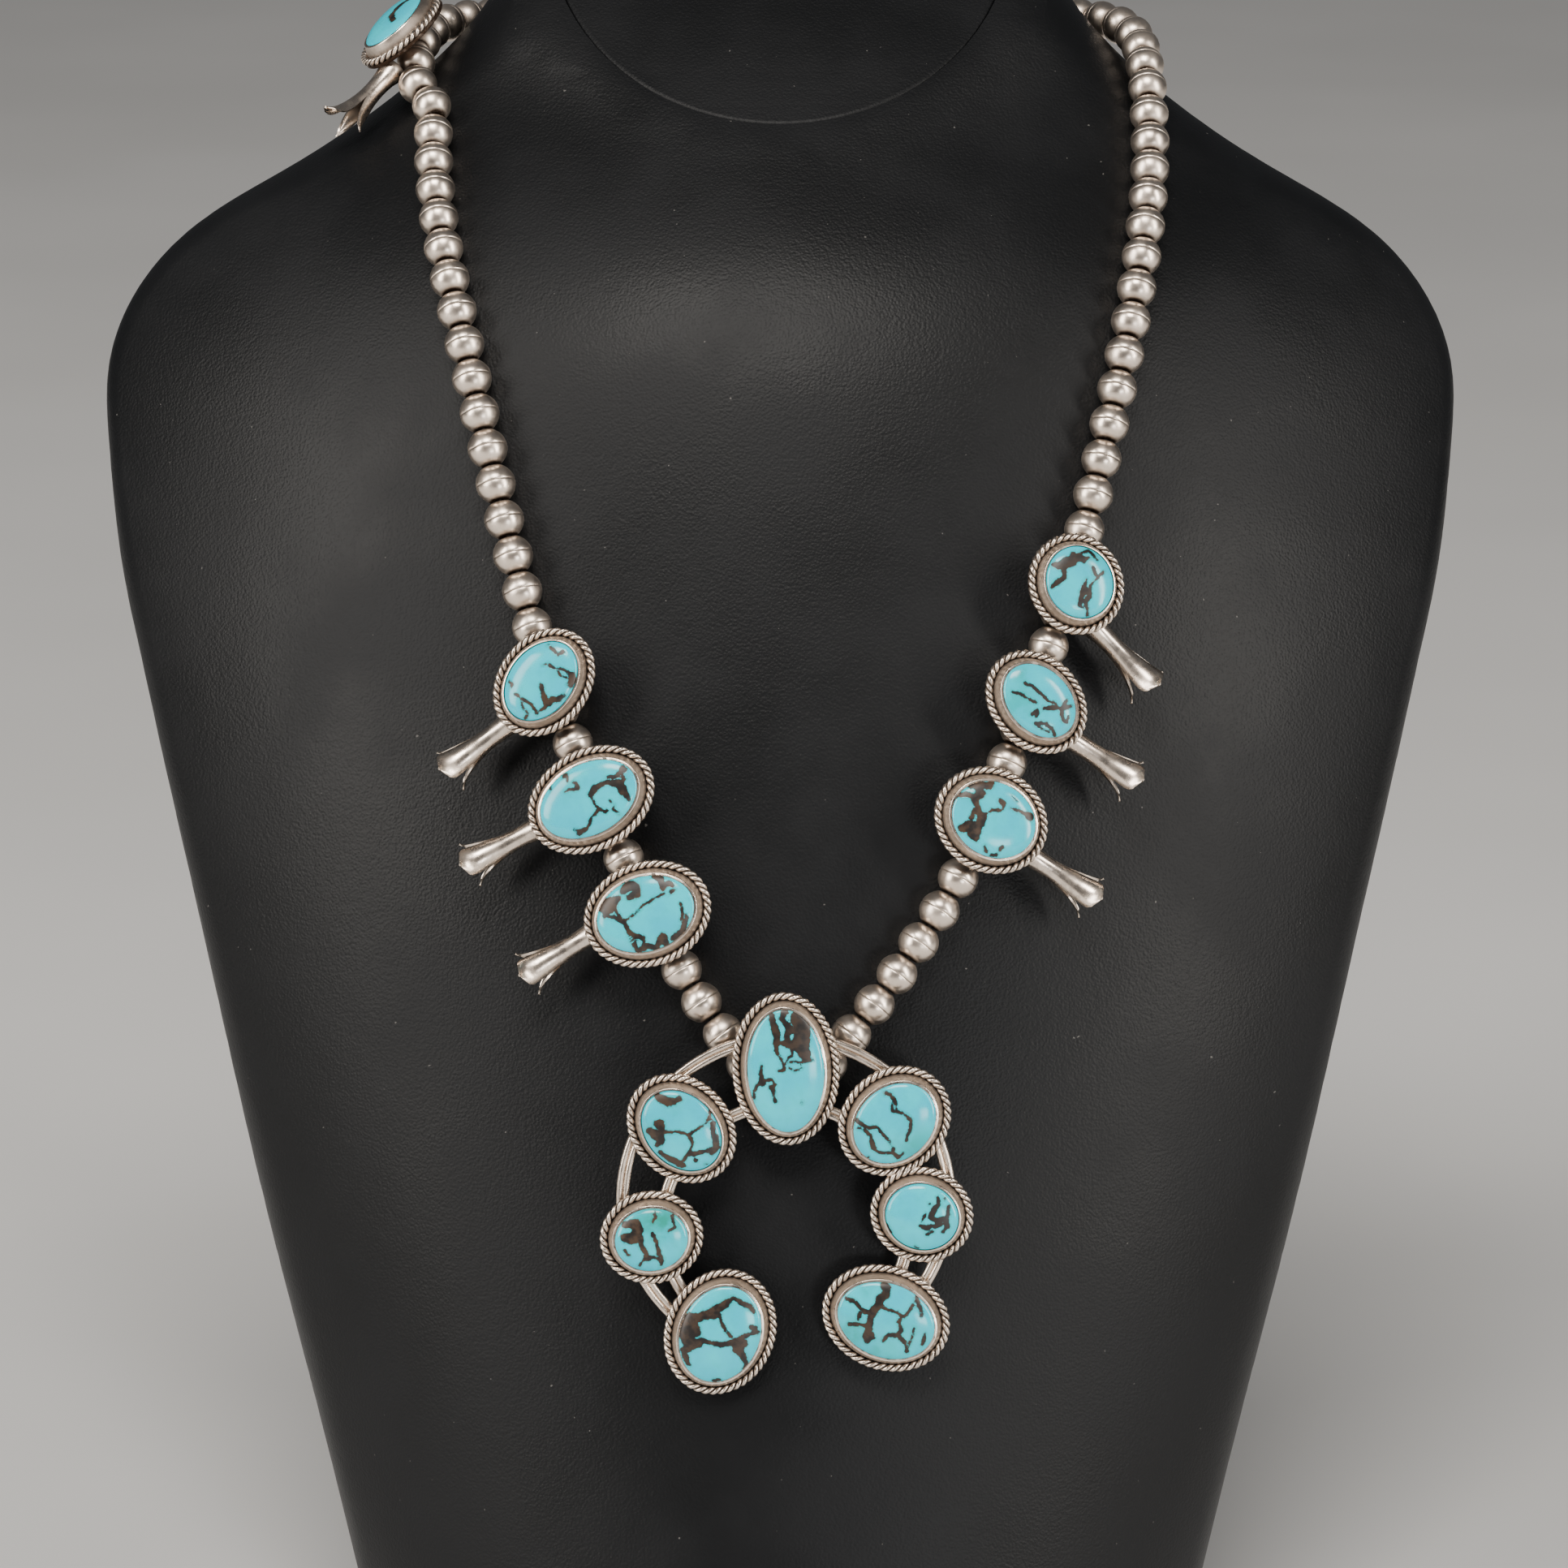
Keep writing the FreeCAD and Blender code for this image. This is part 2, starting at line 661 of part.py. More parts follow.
# Where each setting sits from the middle of the outer arc
NAJA_PLACES = {
    "top": (0.0, 24.8),
    "left_upper": (-19.3, 13.6),
    "right_upper": (20.1, 15.0),
    "left_middle": (-24.9, -6.9),
    "right_middle": (25.2, -2.6),
    "left_lower": (-12.2, -24.8),
    "right_lower": (18.6, -22.2),
}
NAJA_MIDDLE = (1.1, -77.0)
NAJA_TOP_HEIGHT = 9.4
NAJA_FOOT_HEIGHT = 1.0


def arc_ring(name, radius, middle_y, start, end):
    """One round wire of an arc, from one angle to another about the arc's own middle."""
    ring = add("Part::Torus", name, Radius1=radius, Radius2="sizes.arc_wire")
    ring.Angle3 = end - start
    ring.Placement = Placement(Vector(0, middle_y, 0), Rotation(Z_AXIS, start))
    return ring


def make_naja(bust):
    """The crescent with its seven settings, and their stones."""
    drop = size("inner_arc_drop")

    def bearing(place, middle_y):
        x, y = NAJA_PLACES[place]
        return math.degrees(math.atan2(y - middle_y, x))

    pieces = []
    arcs = [("outer", "sizes.outer_arc", 0.0), ("inner", "sizes.inner_arc", -drop)]
    for arc, radius, middle_y in arcs:
        start = bearing("right_lower", middle_y)
        end = bearing("left_lower", middle_y) + 360
        for wire, sign in (("far", "+"), ("near", "-")):
            pieces.append(arc_ring("naja_%s_%s" % (arc, wire), "%s %s sizes.arc_spacing / 2" % (radius, sign),
                                   middle_y, start, end))

    top_point = on_chest(NAJA_MIDDLE[0], NAJA_MIDDLE[1] + size("outer_arc"), CHEST_START)
    foot_point = on_chest(NAJA_MIDDLE[0], NAJA_MIDDLE[1] - size("outer_arc"), CHEST_START)
    top_point = settle(bust, top_point, chest_out() * -1, NAJA_TOP_HEIGHT)
    foot_point = settle(bust, foot_point, chest_out() * -1, NAJA_FOOT_HEIGHT)
    rise = (top_point - foot_point).normalize()
    home = Placement((top_point + foot_point) * 0.5, Rotation(X_AXIS, rise, X_AXIS.cross(rise), "ZXY"))

    stones = []
    seat = size("naja_plate_seat")
    for place, (x, y) in NAJA_PLACES.items():
        key = "naja_" + place
        local = Placement(Vector(x, y, seat), Rotation(Z_AXIS, NAJA_STONES[place].turn))
        setting = fuse(key + "_setting", make_setting(key))
        setting.Placement = local
        pieces.append(setting)
        stone = make_stone("naja_stone_" + place, key)
        stone.Placement = home.multiply(local)
        stones.append(stone)

    # The strap bail behind the top setting, with the thread through it from side to side
    bail_y = (on_chest(0, LEFT_FRONT[0][1]) - on_chest(0, NAJA_MIDDLE[1])).Length - size("bail_rise")
    outside = add("Part::Cylinder", "bail_outside", Radius="sizes.bail_hole + sizes.bail_wall",
                  Height="sizes.bail_width")
    inside = add("Part::Cylinder", "bail_inside", Radius="sizes.bail_hole", Height="sizes.bail_width * 3")
    for item, start in ((outside, -0.5), (inside, -1.5)):
        item.Placement = Placement(Vector(start * size("bail_width"), bail_y, -size("bail_drop")),
                                   Rotation(Y_AXIS, 90))
    bridge = add("Part::Box", "bail_bridge", Length="sizes.bail_width", Width="sizes.bail_wall * 2",
                 Height="sizes.bail_drop - sizes.bail_hole + sizes.naja_plate_seat")
    bridge.Placement = Placement(Vector(-size("bail_width") / 2, bail_y - size("bail_wall"),
                                        size("bail_hole") + 0.1 - size("bail_drop")), Rotation())
    pieces += [cut("bail_tube", outside, inside), bridge]

    # One plain join after another: joined as one feature, the two middle settings' rims fail
    doc.recompute()
    whole = pieces[0].Shape
    for piece in pieces[1:]:
        whole = whole.fuse(piece.Shape)
    naja = feature("naja_frame", whole)
    naja.Placement = home
    return naja, stones


def make_thread(route_object, points):
    """The thread, a round swept along the whole route."""
    section = add("Part::Circle", "thread_round", Radius="sizes.thread_radius")
    first = (points[1] - points[0]).normalize()
    section.Placement = Placement(points[0], Rotation(Z_AXIS, first))
    thread = doc.addObject("Part::Sweep", "thread")
    thread.Sections = [section]
    thread.Spine = (route_object, ["Edge%d" % (n + 1) for n in range(len(route_object.Shape.Edges))])
    thread.Solid = True
    return thread


def make_clasp(left_end, right_end):
    """A plain barrel at the back of the neck, bored at both ends for the thread."""
    barrel = add("Part::Cylinder", "clasp_barrel", Radius="sizes.clasp_radius", Height="sizes.clasp_length")
    bores = []
    for number, start in enumerate(("-1 mm", "sizes.clasp_length - sizes.clasp_bore_depth")):
        bore = add("Part::Cylinder", "clasp_bore_%d" % number, Radius="sizes.bead_bore",
                   Height="sizes.clasp_bore_depth + 1")
        bore.setExpression("Placement.Base.z", start)
        bores.append(bore)
    clasp = cut("clasp", barrel, fuse("clasp_bores", bores))
    axis = (right_end - left_end).normalize()
    middle = (left_end + right_end) * 0.5
    clasp.Placement = Placement(middle - axis * (size("clasp_length") / 2), Rotation(Z_AXIS, axis))
    return clasp


def main():
    bust, neck_cap = make_bust()
    solid = bust.Shape.Solids[0]
    points = strand_points(solid)
    wire, radii = rounded_route(points)
    print("thread: length %.1f mm, bend radii %s mm" % (wire.Length, ", ".join("%.1f" % r for r in radii)))
    route_object = feature("thread_route", wire)
    lowest_left = len(NECK_ROUTE) + len(LEFT_FRONT)
    route = Route(wire, (points[lowest_left] + points[lowest_left + 1]) * 0.5)

    bead_form = make_bead_form()
    doc.recompute()
    shanks = make_strings(route, bead_form)
    nodes = {"bust": bust, "neck_cap": neck_cap}
    for side in STRINGING:
        nodes["bead_string_" + side] = doc.getObject("bead_string_" + side)
    for key, distance in shanks.items():
        blossom, stone = make_blossom(key, route, distance, solid)
        nodes[blossom.Name] = blossom
        nodes[stone.Name] = stone
    naja, stones = make_naja(solid)
    nodes[naja.Name] = naja
    for stone in stones:
        nodes[stone.Name] = stone
    nodes["thread"] = make_thread(route_object, points)
    nodes["clasp"] = make_clasp(points[0], points[-1])
    doc.recompute()

    os.makedirs("parts", exist_ok=True)
    for item in doc.Objects:
        if "Invalid" in item.State or "Error" in item.State:
            raise RuntimeError("%s couldn't be computed." % item.Name)
    for name, item in nodes.items():
        item.Label = name
        if item.Shape.isNull() or not item.Shape.isValid():
            raise RuntimeError("The shape of %s isn't valid." % name)
        item.Shape.exportStep("parts/" + name + ".step")


main()
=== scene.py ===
import logging
import math
from dataclasses import dataclass, field
from enum import Enum

import bmesh
import bpy
import numpy as np
from mathutils import Matrix, Vector


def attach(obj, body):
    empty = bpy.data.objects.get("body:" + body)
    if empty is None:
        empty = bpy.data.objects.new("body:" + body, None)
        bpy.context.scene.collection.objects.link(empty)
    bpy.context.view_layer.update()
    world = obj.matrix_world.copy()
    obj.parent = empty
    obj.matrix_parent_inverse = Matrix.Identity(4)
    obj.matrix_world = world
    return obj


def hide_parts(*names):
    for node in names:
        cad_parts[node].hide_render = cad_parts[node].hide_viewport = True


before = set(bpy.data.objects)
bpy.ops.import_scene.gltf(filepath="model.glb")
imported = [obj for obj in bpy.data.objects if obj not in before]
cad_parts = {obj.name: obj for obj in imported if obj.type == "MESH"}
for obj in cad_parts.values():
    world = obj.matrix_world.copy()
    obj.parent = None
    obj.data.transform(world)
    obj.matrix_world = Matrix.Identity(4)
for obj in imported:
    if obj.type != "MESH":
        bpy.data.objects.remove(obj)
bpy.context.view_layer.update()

# Squash blossom necklace on a leaning neck bust. Shapes are worked out in millimetres in each
# setting's own frame (x across, y up, z out of the chest) and brought into the row frame in metres.

MM = 0.001
LOG = logging.getLogger("necklace")


# Where everything lies


def flat_face(bm: bmesh.types.BMesh, verts: set[bmesh.types.BMVert]) -> tuple[Vector, Vector]:
    """Find the largest flat face among some vertices' triangles.

    Args:
        bm: The mesh that holds them; not used.
        verts: The vertices of one loose shape.

    Returns:
        The middle of the flat face and its outward normal.
    """
    groups: dict[tuple[int, int, int], list[bmesh.types.BMFace]] = {}
    for face in {f for v in verts for f in v.link_faces}:
        key = tuple(round(c * 200) for c in face.normal)
        groups.setdefault(key, []).append(face)
    faces = max(groups.values(), key=lambda fs: sum(f.calc_area() for f in fs))
    area = sum(f.calc_area() for f in faces)
    middle = sum((f.calc_center_median() * f.calc_area() for f in faces), Vector()) / area
    return middle, faces[0].normal.copy()


def merged_copy(node: str) -> bmesh.types.BMesh:
    """Copy a node's mesh with its loose triangles joined.

    Args:
        node: The CAD node's name.

    Returns:
        A new mesh in metres.
    """
    bm = bmesh.new()
    bm.from_mesh(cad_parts[node].data)
    bmesh.ops.remove_doubles(bm, verts=bm.verts[:], dist=1e-6)
    bm.normal_update()
    return bm


def loose_shapes(bm: bmesh.types.BMesh) -> list[set[bmesh.types.BMVert]]:
    """Split a mesh's vertices into its loose shapes, in their own order.

    Args:
        bm: The mesh.

    Returns:
        One set of vertices for each loose shape.
    """
    seen: set[bmesh.types.BMVert] = set()
    shapes = []
    for first in bm.verts:
        if first in seen:
            continue
        shape, waiting = {first}, [first]
        while waiting:
            vert = waiting.pop()
            for link in vert.link_edges:
                other = link.other_vert(vert)
                if other not in shape:
                    shape.add(other)
                    waiting.append(other)
        seen |= shape
        shapes.append(shape)
    return shapes


def seat_frame(stone_node: str, foot_height: float) -> Matrix:
    """Read a setting's own frame from the flat foot of its stone.

    Args:
        stone_node: The CAD node of the stone.
        foot_height: How far the stone's foot lies above the back of the plate, in millimetres.

    Returns:
        A matrix from the setting's millimetres to the row frame.
    """
    bm = merged_copy(stone_node)
    middle, down = flat_face(bm, set(bm.verts))
    bm.free()
    out = -down
    across = (Vector((1, 0, 0)) - out * out.x).normalized()
    up = out.cross(across)
    origin = middle - out * foot_height * MM
    turn = Matrix((across, up, out)).transposed().to_4x4()
    return Matrix.Translation(origin) @ turn @ Matrix.Scale(MM, 4)


# Mesh tools


def circle(bm: bmesh.types.BMesh, matrix: Matrix, segments: int) -> list[bmesh.types.BMEdge]:
    """Add a unit circle placed by a matrix.

    Args:
        bm: The mesh.
        matrix: Stretches and places the circle.
        segments: Its number of edges.

    Returns:
        Its edges.
    """
    made = bmesh.ops.create_circle(bm, segments=segments, radius=1.0, matrix=matrix)
    return list({edge for vert in made["verts"] for edge in vert.link_edges})


def loft(bm: bmesh.types.BMesh, rings: list[Matrix], segments: int, closed: bool = False,
         caps: bool = True) -> None:
    """Bridge a row of circles into a tube.

    Args:
        bm: The mesh.
        rings: The matrix of each circle, in order.
        segments: The number of edges of each circle.
        closed: Whether the last circle joins the first.
        caps: Whether the ends of an open tube are filled.
    """
    loops = [circle(bm, ring, segments) for ring in rings]
    pairs = list(zip(loops, loops[1:])) + ([(loops[-1], loops[0])] if closed else [])
    for low, high in pairs:
        bmesh.ops.bridge_loops(bm, edges=low + high)
    if caps and not closed:
        for loop in (loops[0], loops[-1]):
            bmesh.ops.contextual_create(bm, geom=loop)


def level(long: float, short: float, height: float) -> Matrix:
    """The matrix of an oval with these half axes at this height."""
    return Matrix.Translation((0, 0, height)) @ Matrix.Diagonal((long, short, 1, 1))


def set_mask(bm: bmesh.types.BMesh, name: str, values: dict[bmesh.types.BMVert, float]) -> None:
    """Store a number on some vertices under a name that a material reads.

    Args:
        bm: The mesh.
        name: The attribute's name.
        values: The number of each vertex.
    """
    bm.verts.index_update()
    numbers = [(vert.index, value) for vert, value in values.items()]
    layer = bm.verts.layers.float.get(name) or bm.verts.layers.float.new(name)
    bm.verts.ensure_lookup_table()
    for index, value in numbers:
        bm.verts[index][layer] = value


def add_mesh(target: bmesh.types.BMesh, source: bmesh.types.BMesh, matrix: Matrix) -> None:
    """Add one mesh to another through a matrix, its attributes with it, and free the first.

    Args:
        target: The mesh that receives it.
        source: The mesh that is added.
        matrix: Where it goes.
    """
    source.transform(matrix)
    data = bpy.data.meshes.new("passing")
    source.to_mesh(data)
    source.free()
    target.from_mesh(data)
    bpy.data.meshes.remove(data)


def smooth_step(value: float, low: float, high: float) -> float:
    """Rise softly from 0 at low to 1 at high."""
    t = min(max((value - low) / (high - low), 0.0), 1.0)
    return t * t * (3 - 2 * t)


def make_piece(name: str, bm: bmesh.types.BMesh, finish: bpy.types.Material,
               nodes: tuple[str, ...], recalculate: bool = True, crease: float = 50.0) -> bpy.types.Object:
    """Turn a finished mesh into a piece of the object.

    Args:
        name: The piece's name.
        bm: Its mesh in the row frame, freed here.
        finish: Its material.
        nodes: The CAD nodes that it stands for.
        recalculate: Whether its normals are worked out again.
        crease: The angle in degrees past which an edge is sharp.

    Returns:
        The new object.
    """
    if recalculate:
        bmesh.ops.recalc_face_normals(bm, faces=bm.faces[:])
    for face in bm.faces:
        face.smooth = True
    for edge in bm.edges:
        if len(edge.link_faces) == 2 and edge.calc_face_angle(0.0) > math.radians(crease):
            edge.smooth = False
    data = bpy.data.meshes.new(name)
    bm.to_mesh(data)
    bm.free()
    data.materials.append(finish)
    piece = bpy.data.objects.new(name, data)
    bpy.context.scene.collection.objects.link(piece)
    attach(piece, "root")
    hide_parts(*nodes)
    LOG.info("%s: %d faces", name, len(data.polygons))
    return piece


# Node tools


class Graph:
    """Adds and links the nodes of one material or one group."""

    def __init__(self, tree: bpy.types.NodeTree) -> None:
        """Hold the tree."""
        self.tree = tree

    def add(self, kind: str, **settings: object) -> bpy.types.Node:
        """Add a node.

        Args:
            kind: The node's type.
            settings: Properties of the node to set.

        Returns:
            The node.
        """
        node = self.tree.nodes.new(kind)
        for key, value in settings.items():
            setattr(node, key, value)
        return node

    def feed(self, socket: bpy.types.NodeSocket, source: object) -> None:
        """Give a socket either a link or a plain value."""
        if isinstance(source, bpy.types.NodeSocket):
            self.tree.links.new(source, socket)
        else:
            socket.default_value = source

    def sum(self, operation: str, *values: object, clamp: bool = False) -> bpy.types.NodeSocket:
        """Do arithmetic on values or sockets.

        Args:
            operation: The operation's name.
            values: Its operands.
            clamp: Whether the result is kept between 0 and 1.

        Returns:
            The result's socket.
        """
        node = self.add("ShaderNodeMath", operation=operation, use_clamp=clamp)
        for socket, value in zip(node.inputs, values):
            self.feed(socket, value)
        return node.outputs[0]

    def remap(self, value: object, low: float, high: float, to_low: float,
              to_high: float) -> bpy.types.NodeSocket:
        """Map a value softly from one range to another.

        Args:
            value: The value or socket.
            low: The range's start.
            high: The range's end.
            to_low: The result at the start.
            to_high: The result at the end.

        Returns:
            The result's socket.
        """
        node = self.add("ShaderNodeMapRange", interpolation_type="SMOOTHSTEP")
        for socket, item in zip(node.inputs, (value, low, high, to_low, to_high)):
            self.feed(socket, item)
        return node.outputs[0]

    def mix(self, mask: object, first: object, second: object) -> bpy.types.NodeSocket:
        """Blend two colours by a mask.

        Args:
            mask: The blend, 0 for the first.
            first: A colour or socket.
            second: A colour or socket.

        Returns:
            The colour's socket.
        """
        node = self.add("ShaderNodeMix", data_type="RGBA")
        self.feed(node.inputs["Factor"], mask)
        self.feed(node.inputs[6], first)
        self.feed(node.inputs[7], second)
        return node.outputs[2]

    def noise(self, vector: object, scale: float, detail: float = 3.0,
              rough: float = 0.55) -> bpy.types.NodeSocket:
        """A noise pattern.

        Args:
            vector: Its coordinates.
            scale: Its scale per metre.
            detail: Its octaves.
            rough: Its roughness.

        Returns:
            The pattern's socket.
        """
        node = self.add("ShaderNodeTexNoise")
        self.feed(node.inputs["Vector"], vector)
        self.feed(node.inputs["Scale"], scale)
        self.feed(node.inputs["Detail"], detail)
        self.feed(node.inputs["Roughness"], rough)
        return node.outputs["Fac"]

    def place(self) -> bpy.types.NodeSocket:
        """The object's own coordinates."""
        return self.add("ShaderNodeTexCoord").outputs["Object"]

    def mask(self, name: str) -> bpy.types.NodeSocket:
        """A number stored on the mesh."""
        return self.add("ShaderNodeAttribute", attribute_name=name).outputs["Fac"]

    def group(self, tree: bpy.types.NodeTree, **values: object) -> bpy.types.Node:
        """Place a shared group with its own values.

        Args:
            tree: The group.
            values: Its inputs by name, with underscores for spaces.

        Returns:
            The group's node.
        """
        node = self.add("ShaderNodeGroup", node_tree=tree)
        for key, value in values.items():
            self.feed(node.inputs[key.replace("_", " ")], value)
        return node


def new_group(name: str, inputs: list[tuple[str, str, object]], outputs: list[tuple[str, str]],
              ) -> tuple[bpy.types.NodeTree, Graph, bpy.types.Node, bpy.types.Node]:
    """Start a shader node group with named sockets.

    Args:
        name: The group's name.
        inputs: The name, socket type and default of each input.
        outputs: The name and socket type of each output.

    Returns:
        The tree, its graph, and the nodes that hold its inputs and outputs.
    """
    tree = bpy.data.node_groups.new(name, "ShaderNodeTree")
    for title, kind, default in inputs:
        socket = tree.interface.new_socket(name=title, in_out="INPUT", socket_type=kind)
        if default is not None:
            socket.default_value = default
    for title, kind in outputs:
        tree.interface.new_socket(name=title, in_out="OUTPUT", socket_type=kind)
    graph = Graph(tree)
    return tree, graph, graph.add("NodeGroupInput"), graph.add("NodeGroupOutput")


class Effects:
    """The shared effects: cloudy patches, fine grain, and tarnish with painted shade."""

    def __init__(self) -> None:
        """Build each group once."""
        self.cloud = self.make_cloud()
        self.grain = self.make_grain()
        self.tarnish_and_shade = self.make_tarnish_and_shade()

    def make_cloud(self) -> bpy.types.NodeTree:
        """Soft patches of two sizes, put out as one mask.

        Returns:
            The group.
        """
        tree, g, enter, leave = new_group(
            "soft_patches",
            [("Vector", "NodeSocketVector", None), ("Scale", "NodeSocketFloat", 100.0),
             ("Low", "NodeSocketFloat", 0.35), ("High", "NodeSocketFloat", 0.7)],
            [("Mask", "NodeSocketFloat")])
        noise = g.add("ShaderNodeTexNoise")
        noise.inputs["Detail"].default_value = 4.0
        g.feed(noise.inputs["Vector"], enter.outputs["Vector"])
        g.feed(noise.inputs["Scale"], enter.outputs["Scale"])
        spread = g.add("ShaderNodeMapRange", interpolation_type="SMOOTHSTEP")
        g.feed(spread.inputs["Value"], noise.outputs["Fac"])
        g.feed(spread.inputs["From Min"], enter.outputs["Low"])
        g.feed(spread.inputs["From Max"], enter.outputs["High"])
        g.feed(leave.inputs["Mask"], spread.outputs[0])
        return tree

    def make_grain(self) -> bpy.types.NodeTree:
        """A fine grain of pits and scratches, put out as a height.

        Returns:
            The group.
        """
        tree, g, enter, leave = new_group(
            "fine_grain",
            [("Vector", "NodeSocketVector", None), ("Scale", "NodeSocketFloat", 2000.0),
             ("Coarse", "NodeSocketFloat", 0.4)],
            [("Height", "NodeSocketFloat")])
        fine = g.add("ShaderNodeTexNoise")
        fine.inputs["Detail"].default_value = 5.0
        g.feed(fine.inputs["Vector"], enter.outputs["Vector"])
        g.feed(fine.inputs["Scale"], enter.outputs["Scale"])
        large = g.add("ShaderNodeTexNoise")
        g.feed(large.inputs["Vector"], enter.outputs["Vector"])
        g.feed(large.inputs["Scale"], g.sum("MULTIPLY", enter.outputs["Scale"], 0.2))
        share = g.sum("MULTIPLY", large.outputs["Fac"], enter.outputs["Coarse"])
        g.feed(leave.inputs["Height"], g.sum("ADD", fine.outputs["Fac"], share))
        return tree

    def make_tarnish_and_shade(self) -> bpy.types.NodeTree:
        """Dark brown silver sulphide with painted shade in recesses, creases and undersides, and thin tarnish
        patches in the open.

        Returns:
            The group.
        """
        tree, g, enter, leave = new_group(
            "tarnish_and_shade",
            [("Vector", "NodeSocketVector", None), ("Recess", "NodeSocketFloat", 0.0),
             ("Open", "NodeSocketFloat", 0.2), ("Silver", "NodeSocketColor", (0.8, 0.77, 0.73, 1)),
             ("Stain", "NodeSocketColor", (0.06, 0.045, 0.035, 1))],
            [("Color", "NodeSocketColor"), ("Mask", "NodeSocketFloat")])
        broad = g.noise(enter.outputs["Vector"], 180.0, 4.0)
        fine = g.noise(enter.outputs["Vector"], 1100.0, 4.0, 0.65)
        edge = g.sum("ADD", g.sum("MULTIPLY", broad, 0.5), g.sum("MULTIPLY", fine, 0.5))
        # The stored mask is painted shade with tarnish; here it is made ragged and strengthened.
        deep = g.sum("MULTIPLY", enter.outputs["Recess"], g.remap(edge, 0.25, 0.65, 0.75, 1.15))
        film = g.sum("MULTIPLY", g.remap(edge, 0.42, 0.68, 0.0, 1.0), enter.outputs["Open"])
        total = g.sum("MAXIMUM", deep, film, clamp=True)
        g.feed(leave.inputs["Mask"], total)
        g.feed(leave.inputs["Color"], g.mix(total, enter.outputs["Silver"], enter.outputs["Stain"]))
        return tree


@dataclass(frozen=True)
class SilverFinish:
    """Old silver, softly polished by wear, brown from tarnish and painted shade in its recesses."""

    name: str
    bright: tuple[float, float, float, float] = (0.90, 0.775, 0.66, 1)
    # The dark brown of tarnish, also painted as shade in recesses, creases and undersides.
    stain_and_shade: tuple[float, float, float, float] = (0.048, 0.029, 0.019, 1)
    open_film: float = 0.34
    polish: float = 0.22
    grain_scale: float = 2600.0
    grain_depth: float = 0.03

    def build(self, effects: Effects) -> bpy.types.Material:
        """Make the material.

        Args:
            effects: The shared groups.

        Returns:
            The material.
        """
        material, g, surface = new_material(self.name)
        place = g.place()
        # Darkens the silver by the stored mask: tarnish with painted shade.
        tarnish_and_shade = g.group(effects.tarnish_and_shade, Vector=place, Recess=g.mask("tarnish_shade_mask"), Open=self.open_film,
                          Silver=self.bright, Stain=self.stain_and_shade)
        grain = g.group(effects.grain, Vector=place, Scale=self.grain_scale, Coarse=0.8)
        wear = g.group(effects.cloud, Vector=place, Scale=420.0, Low=0.35, High=0.7)
        rough = g.sum("ADD", g.remap(tarnish_and_shade.outputs["Mask"], 0.0, 1.0, self.polish, 0.62),
                      g.sum("MULTIPLY", wear.outputs["Mask"], 0.10))
        bump = g.add("ShaderNodeBump")
        bump.inputs["Strength"].default_value = self.grain_depth
        bump.inputs["Distance"].default_value = 0.0002
        g.feed(bump.inputs["Height"], grain.outputs["Height"])
        surface.inputs["Metallic"].default_value = 1.0
        g.feed(surface.inputs["Base Color"], tarnish_and_shade.outputs["Color"])
        g.feed(surface.inputs["Roughness"], rough)
        g.feed(surface.inputs["Normal"], bump.outputs["Normal"])
        return material


@dataclass(frozen=True)
class StoneFinish:
    """Polished turquoise with the brown and black host rock charted on each stone."""

    name: str = "turquoise"
    sky: tuple[float, float, float, float] = (0.0, 0.52, 0.68, 1)
    pale: tuple[float, float, float, float] = (0.0, 0.66, 0.76, 1)
    green: tuple[float, float, float, float] = (0.012, 0.30, 0.25, 1)
    brown: tuple[float, float, float, float] = (0.060, 0.036, 0.022, 1)
    black: tuple[float, float, float, float] = (0.010, 0.008, 0.007, 1)
    widening: float = 0.13

    def build(self, effects: Effects) -> bpy.types.Material:
        """Make the material.

        Args:
            effects: The shared groups.

        Returns:
            The material.
        """
        material, g, surface = new_material(self.name)
        place = g.place()
        cloud = g.group(effects.cloud, Vector=place, Scale=160.0, Low=0.3, High=0.72)
        mottle = g.group(effects.cloud, Vector=place, Scale=620.0, Low=0.45, High=0.8)
        ground = g.mix(g.sum("MULTIPLY", cloud.outputs["Mask"], 0.75), self.sky, self.pale)
        greenish = g.sum("MULTIPLY", g.mask("green"), g.remap(g.noise(place, 350.0), 0.3, 0.6, 0.35, 1.0))
        ground = g.mix(greenish, ground, self.green)
        ground = g.mix(g.sum("MULTIPLY", mottle.outputs["Mask"], 0.14), ground, self.green)

        ragged = g.sum("MULTIPLY", g.sum("SUBTRACT", g.noise(place, 900.0, 5.0, 0.62), 0.5), 1.15)
        edge = g.sum("ADD", g.sum("SUBTRACT", g.mask("vein"), self.widening), ragged)
        halo = g.remap(edge, 0.0, 0.55, 0.45, 0.0)
        ground = g.mix(halo, ground, self.green)
        rock = g.mix(g.remap(g.noise(place, 520.0, 4.0), 0.38, 0.62, 0.0, 1.0), self.brown, self.black)
        rock = g.mix(g.mask("dark"), rock, self.black)
        inside = g.remap(edge, -0.06, 0.10, 1.0, 0.0)
        g.feed(surface.inputs["Base Color"], g.mix(inside, ground, rock))
        g.feed(surface.inputs["Roughness"], g.remap(inside, 0.0, 1.0, 0.16, 0.38))
        bump = g.add("ShaderNodeBump")
        bump.inputs["Strength"].default_value = 0.25
        bump.inputs["Distance"].default_value = 0.0001
        g.feed(bump.inputs["Height"], g.sum("ADD", g.sum("MULTIPLY", inside, -1.0), g.noise(place, 300.0)))
        g.feed(surface.inputs["Normal"], bump.outputs["Normal"])
        return material


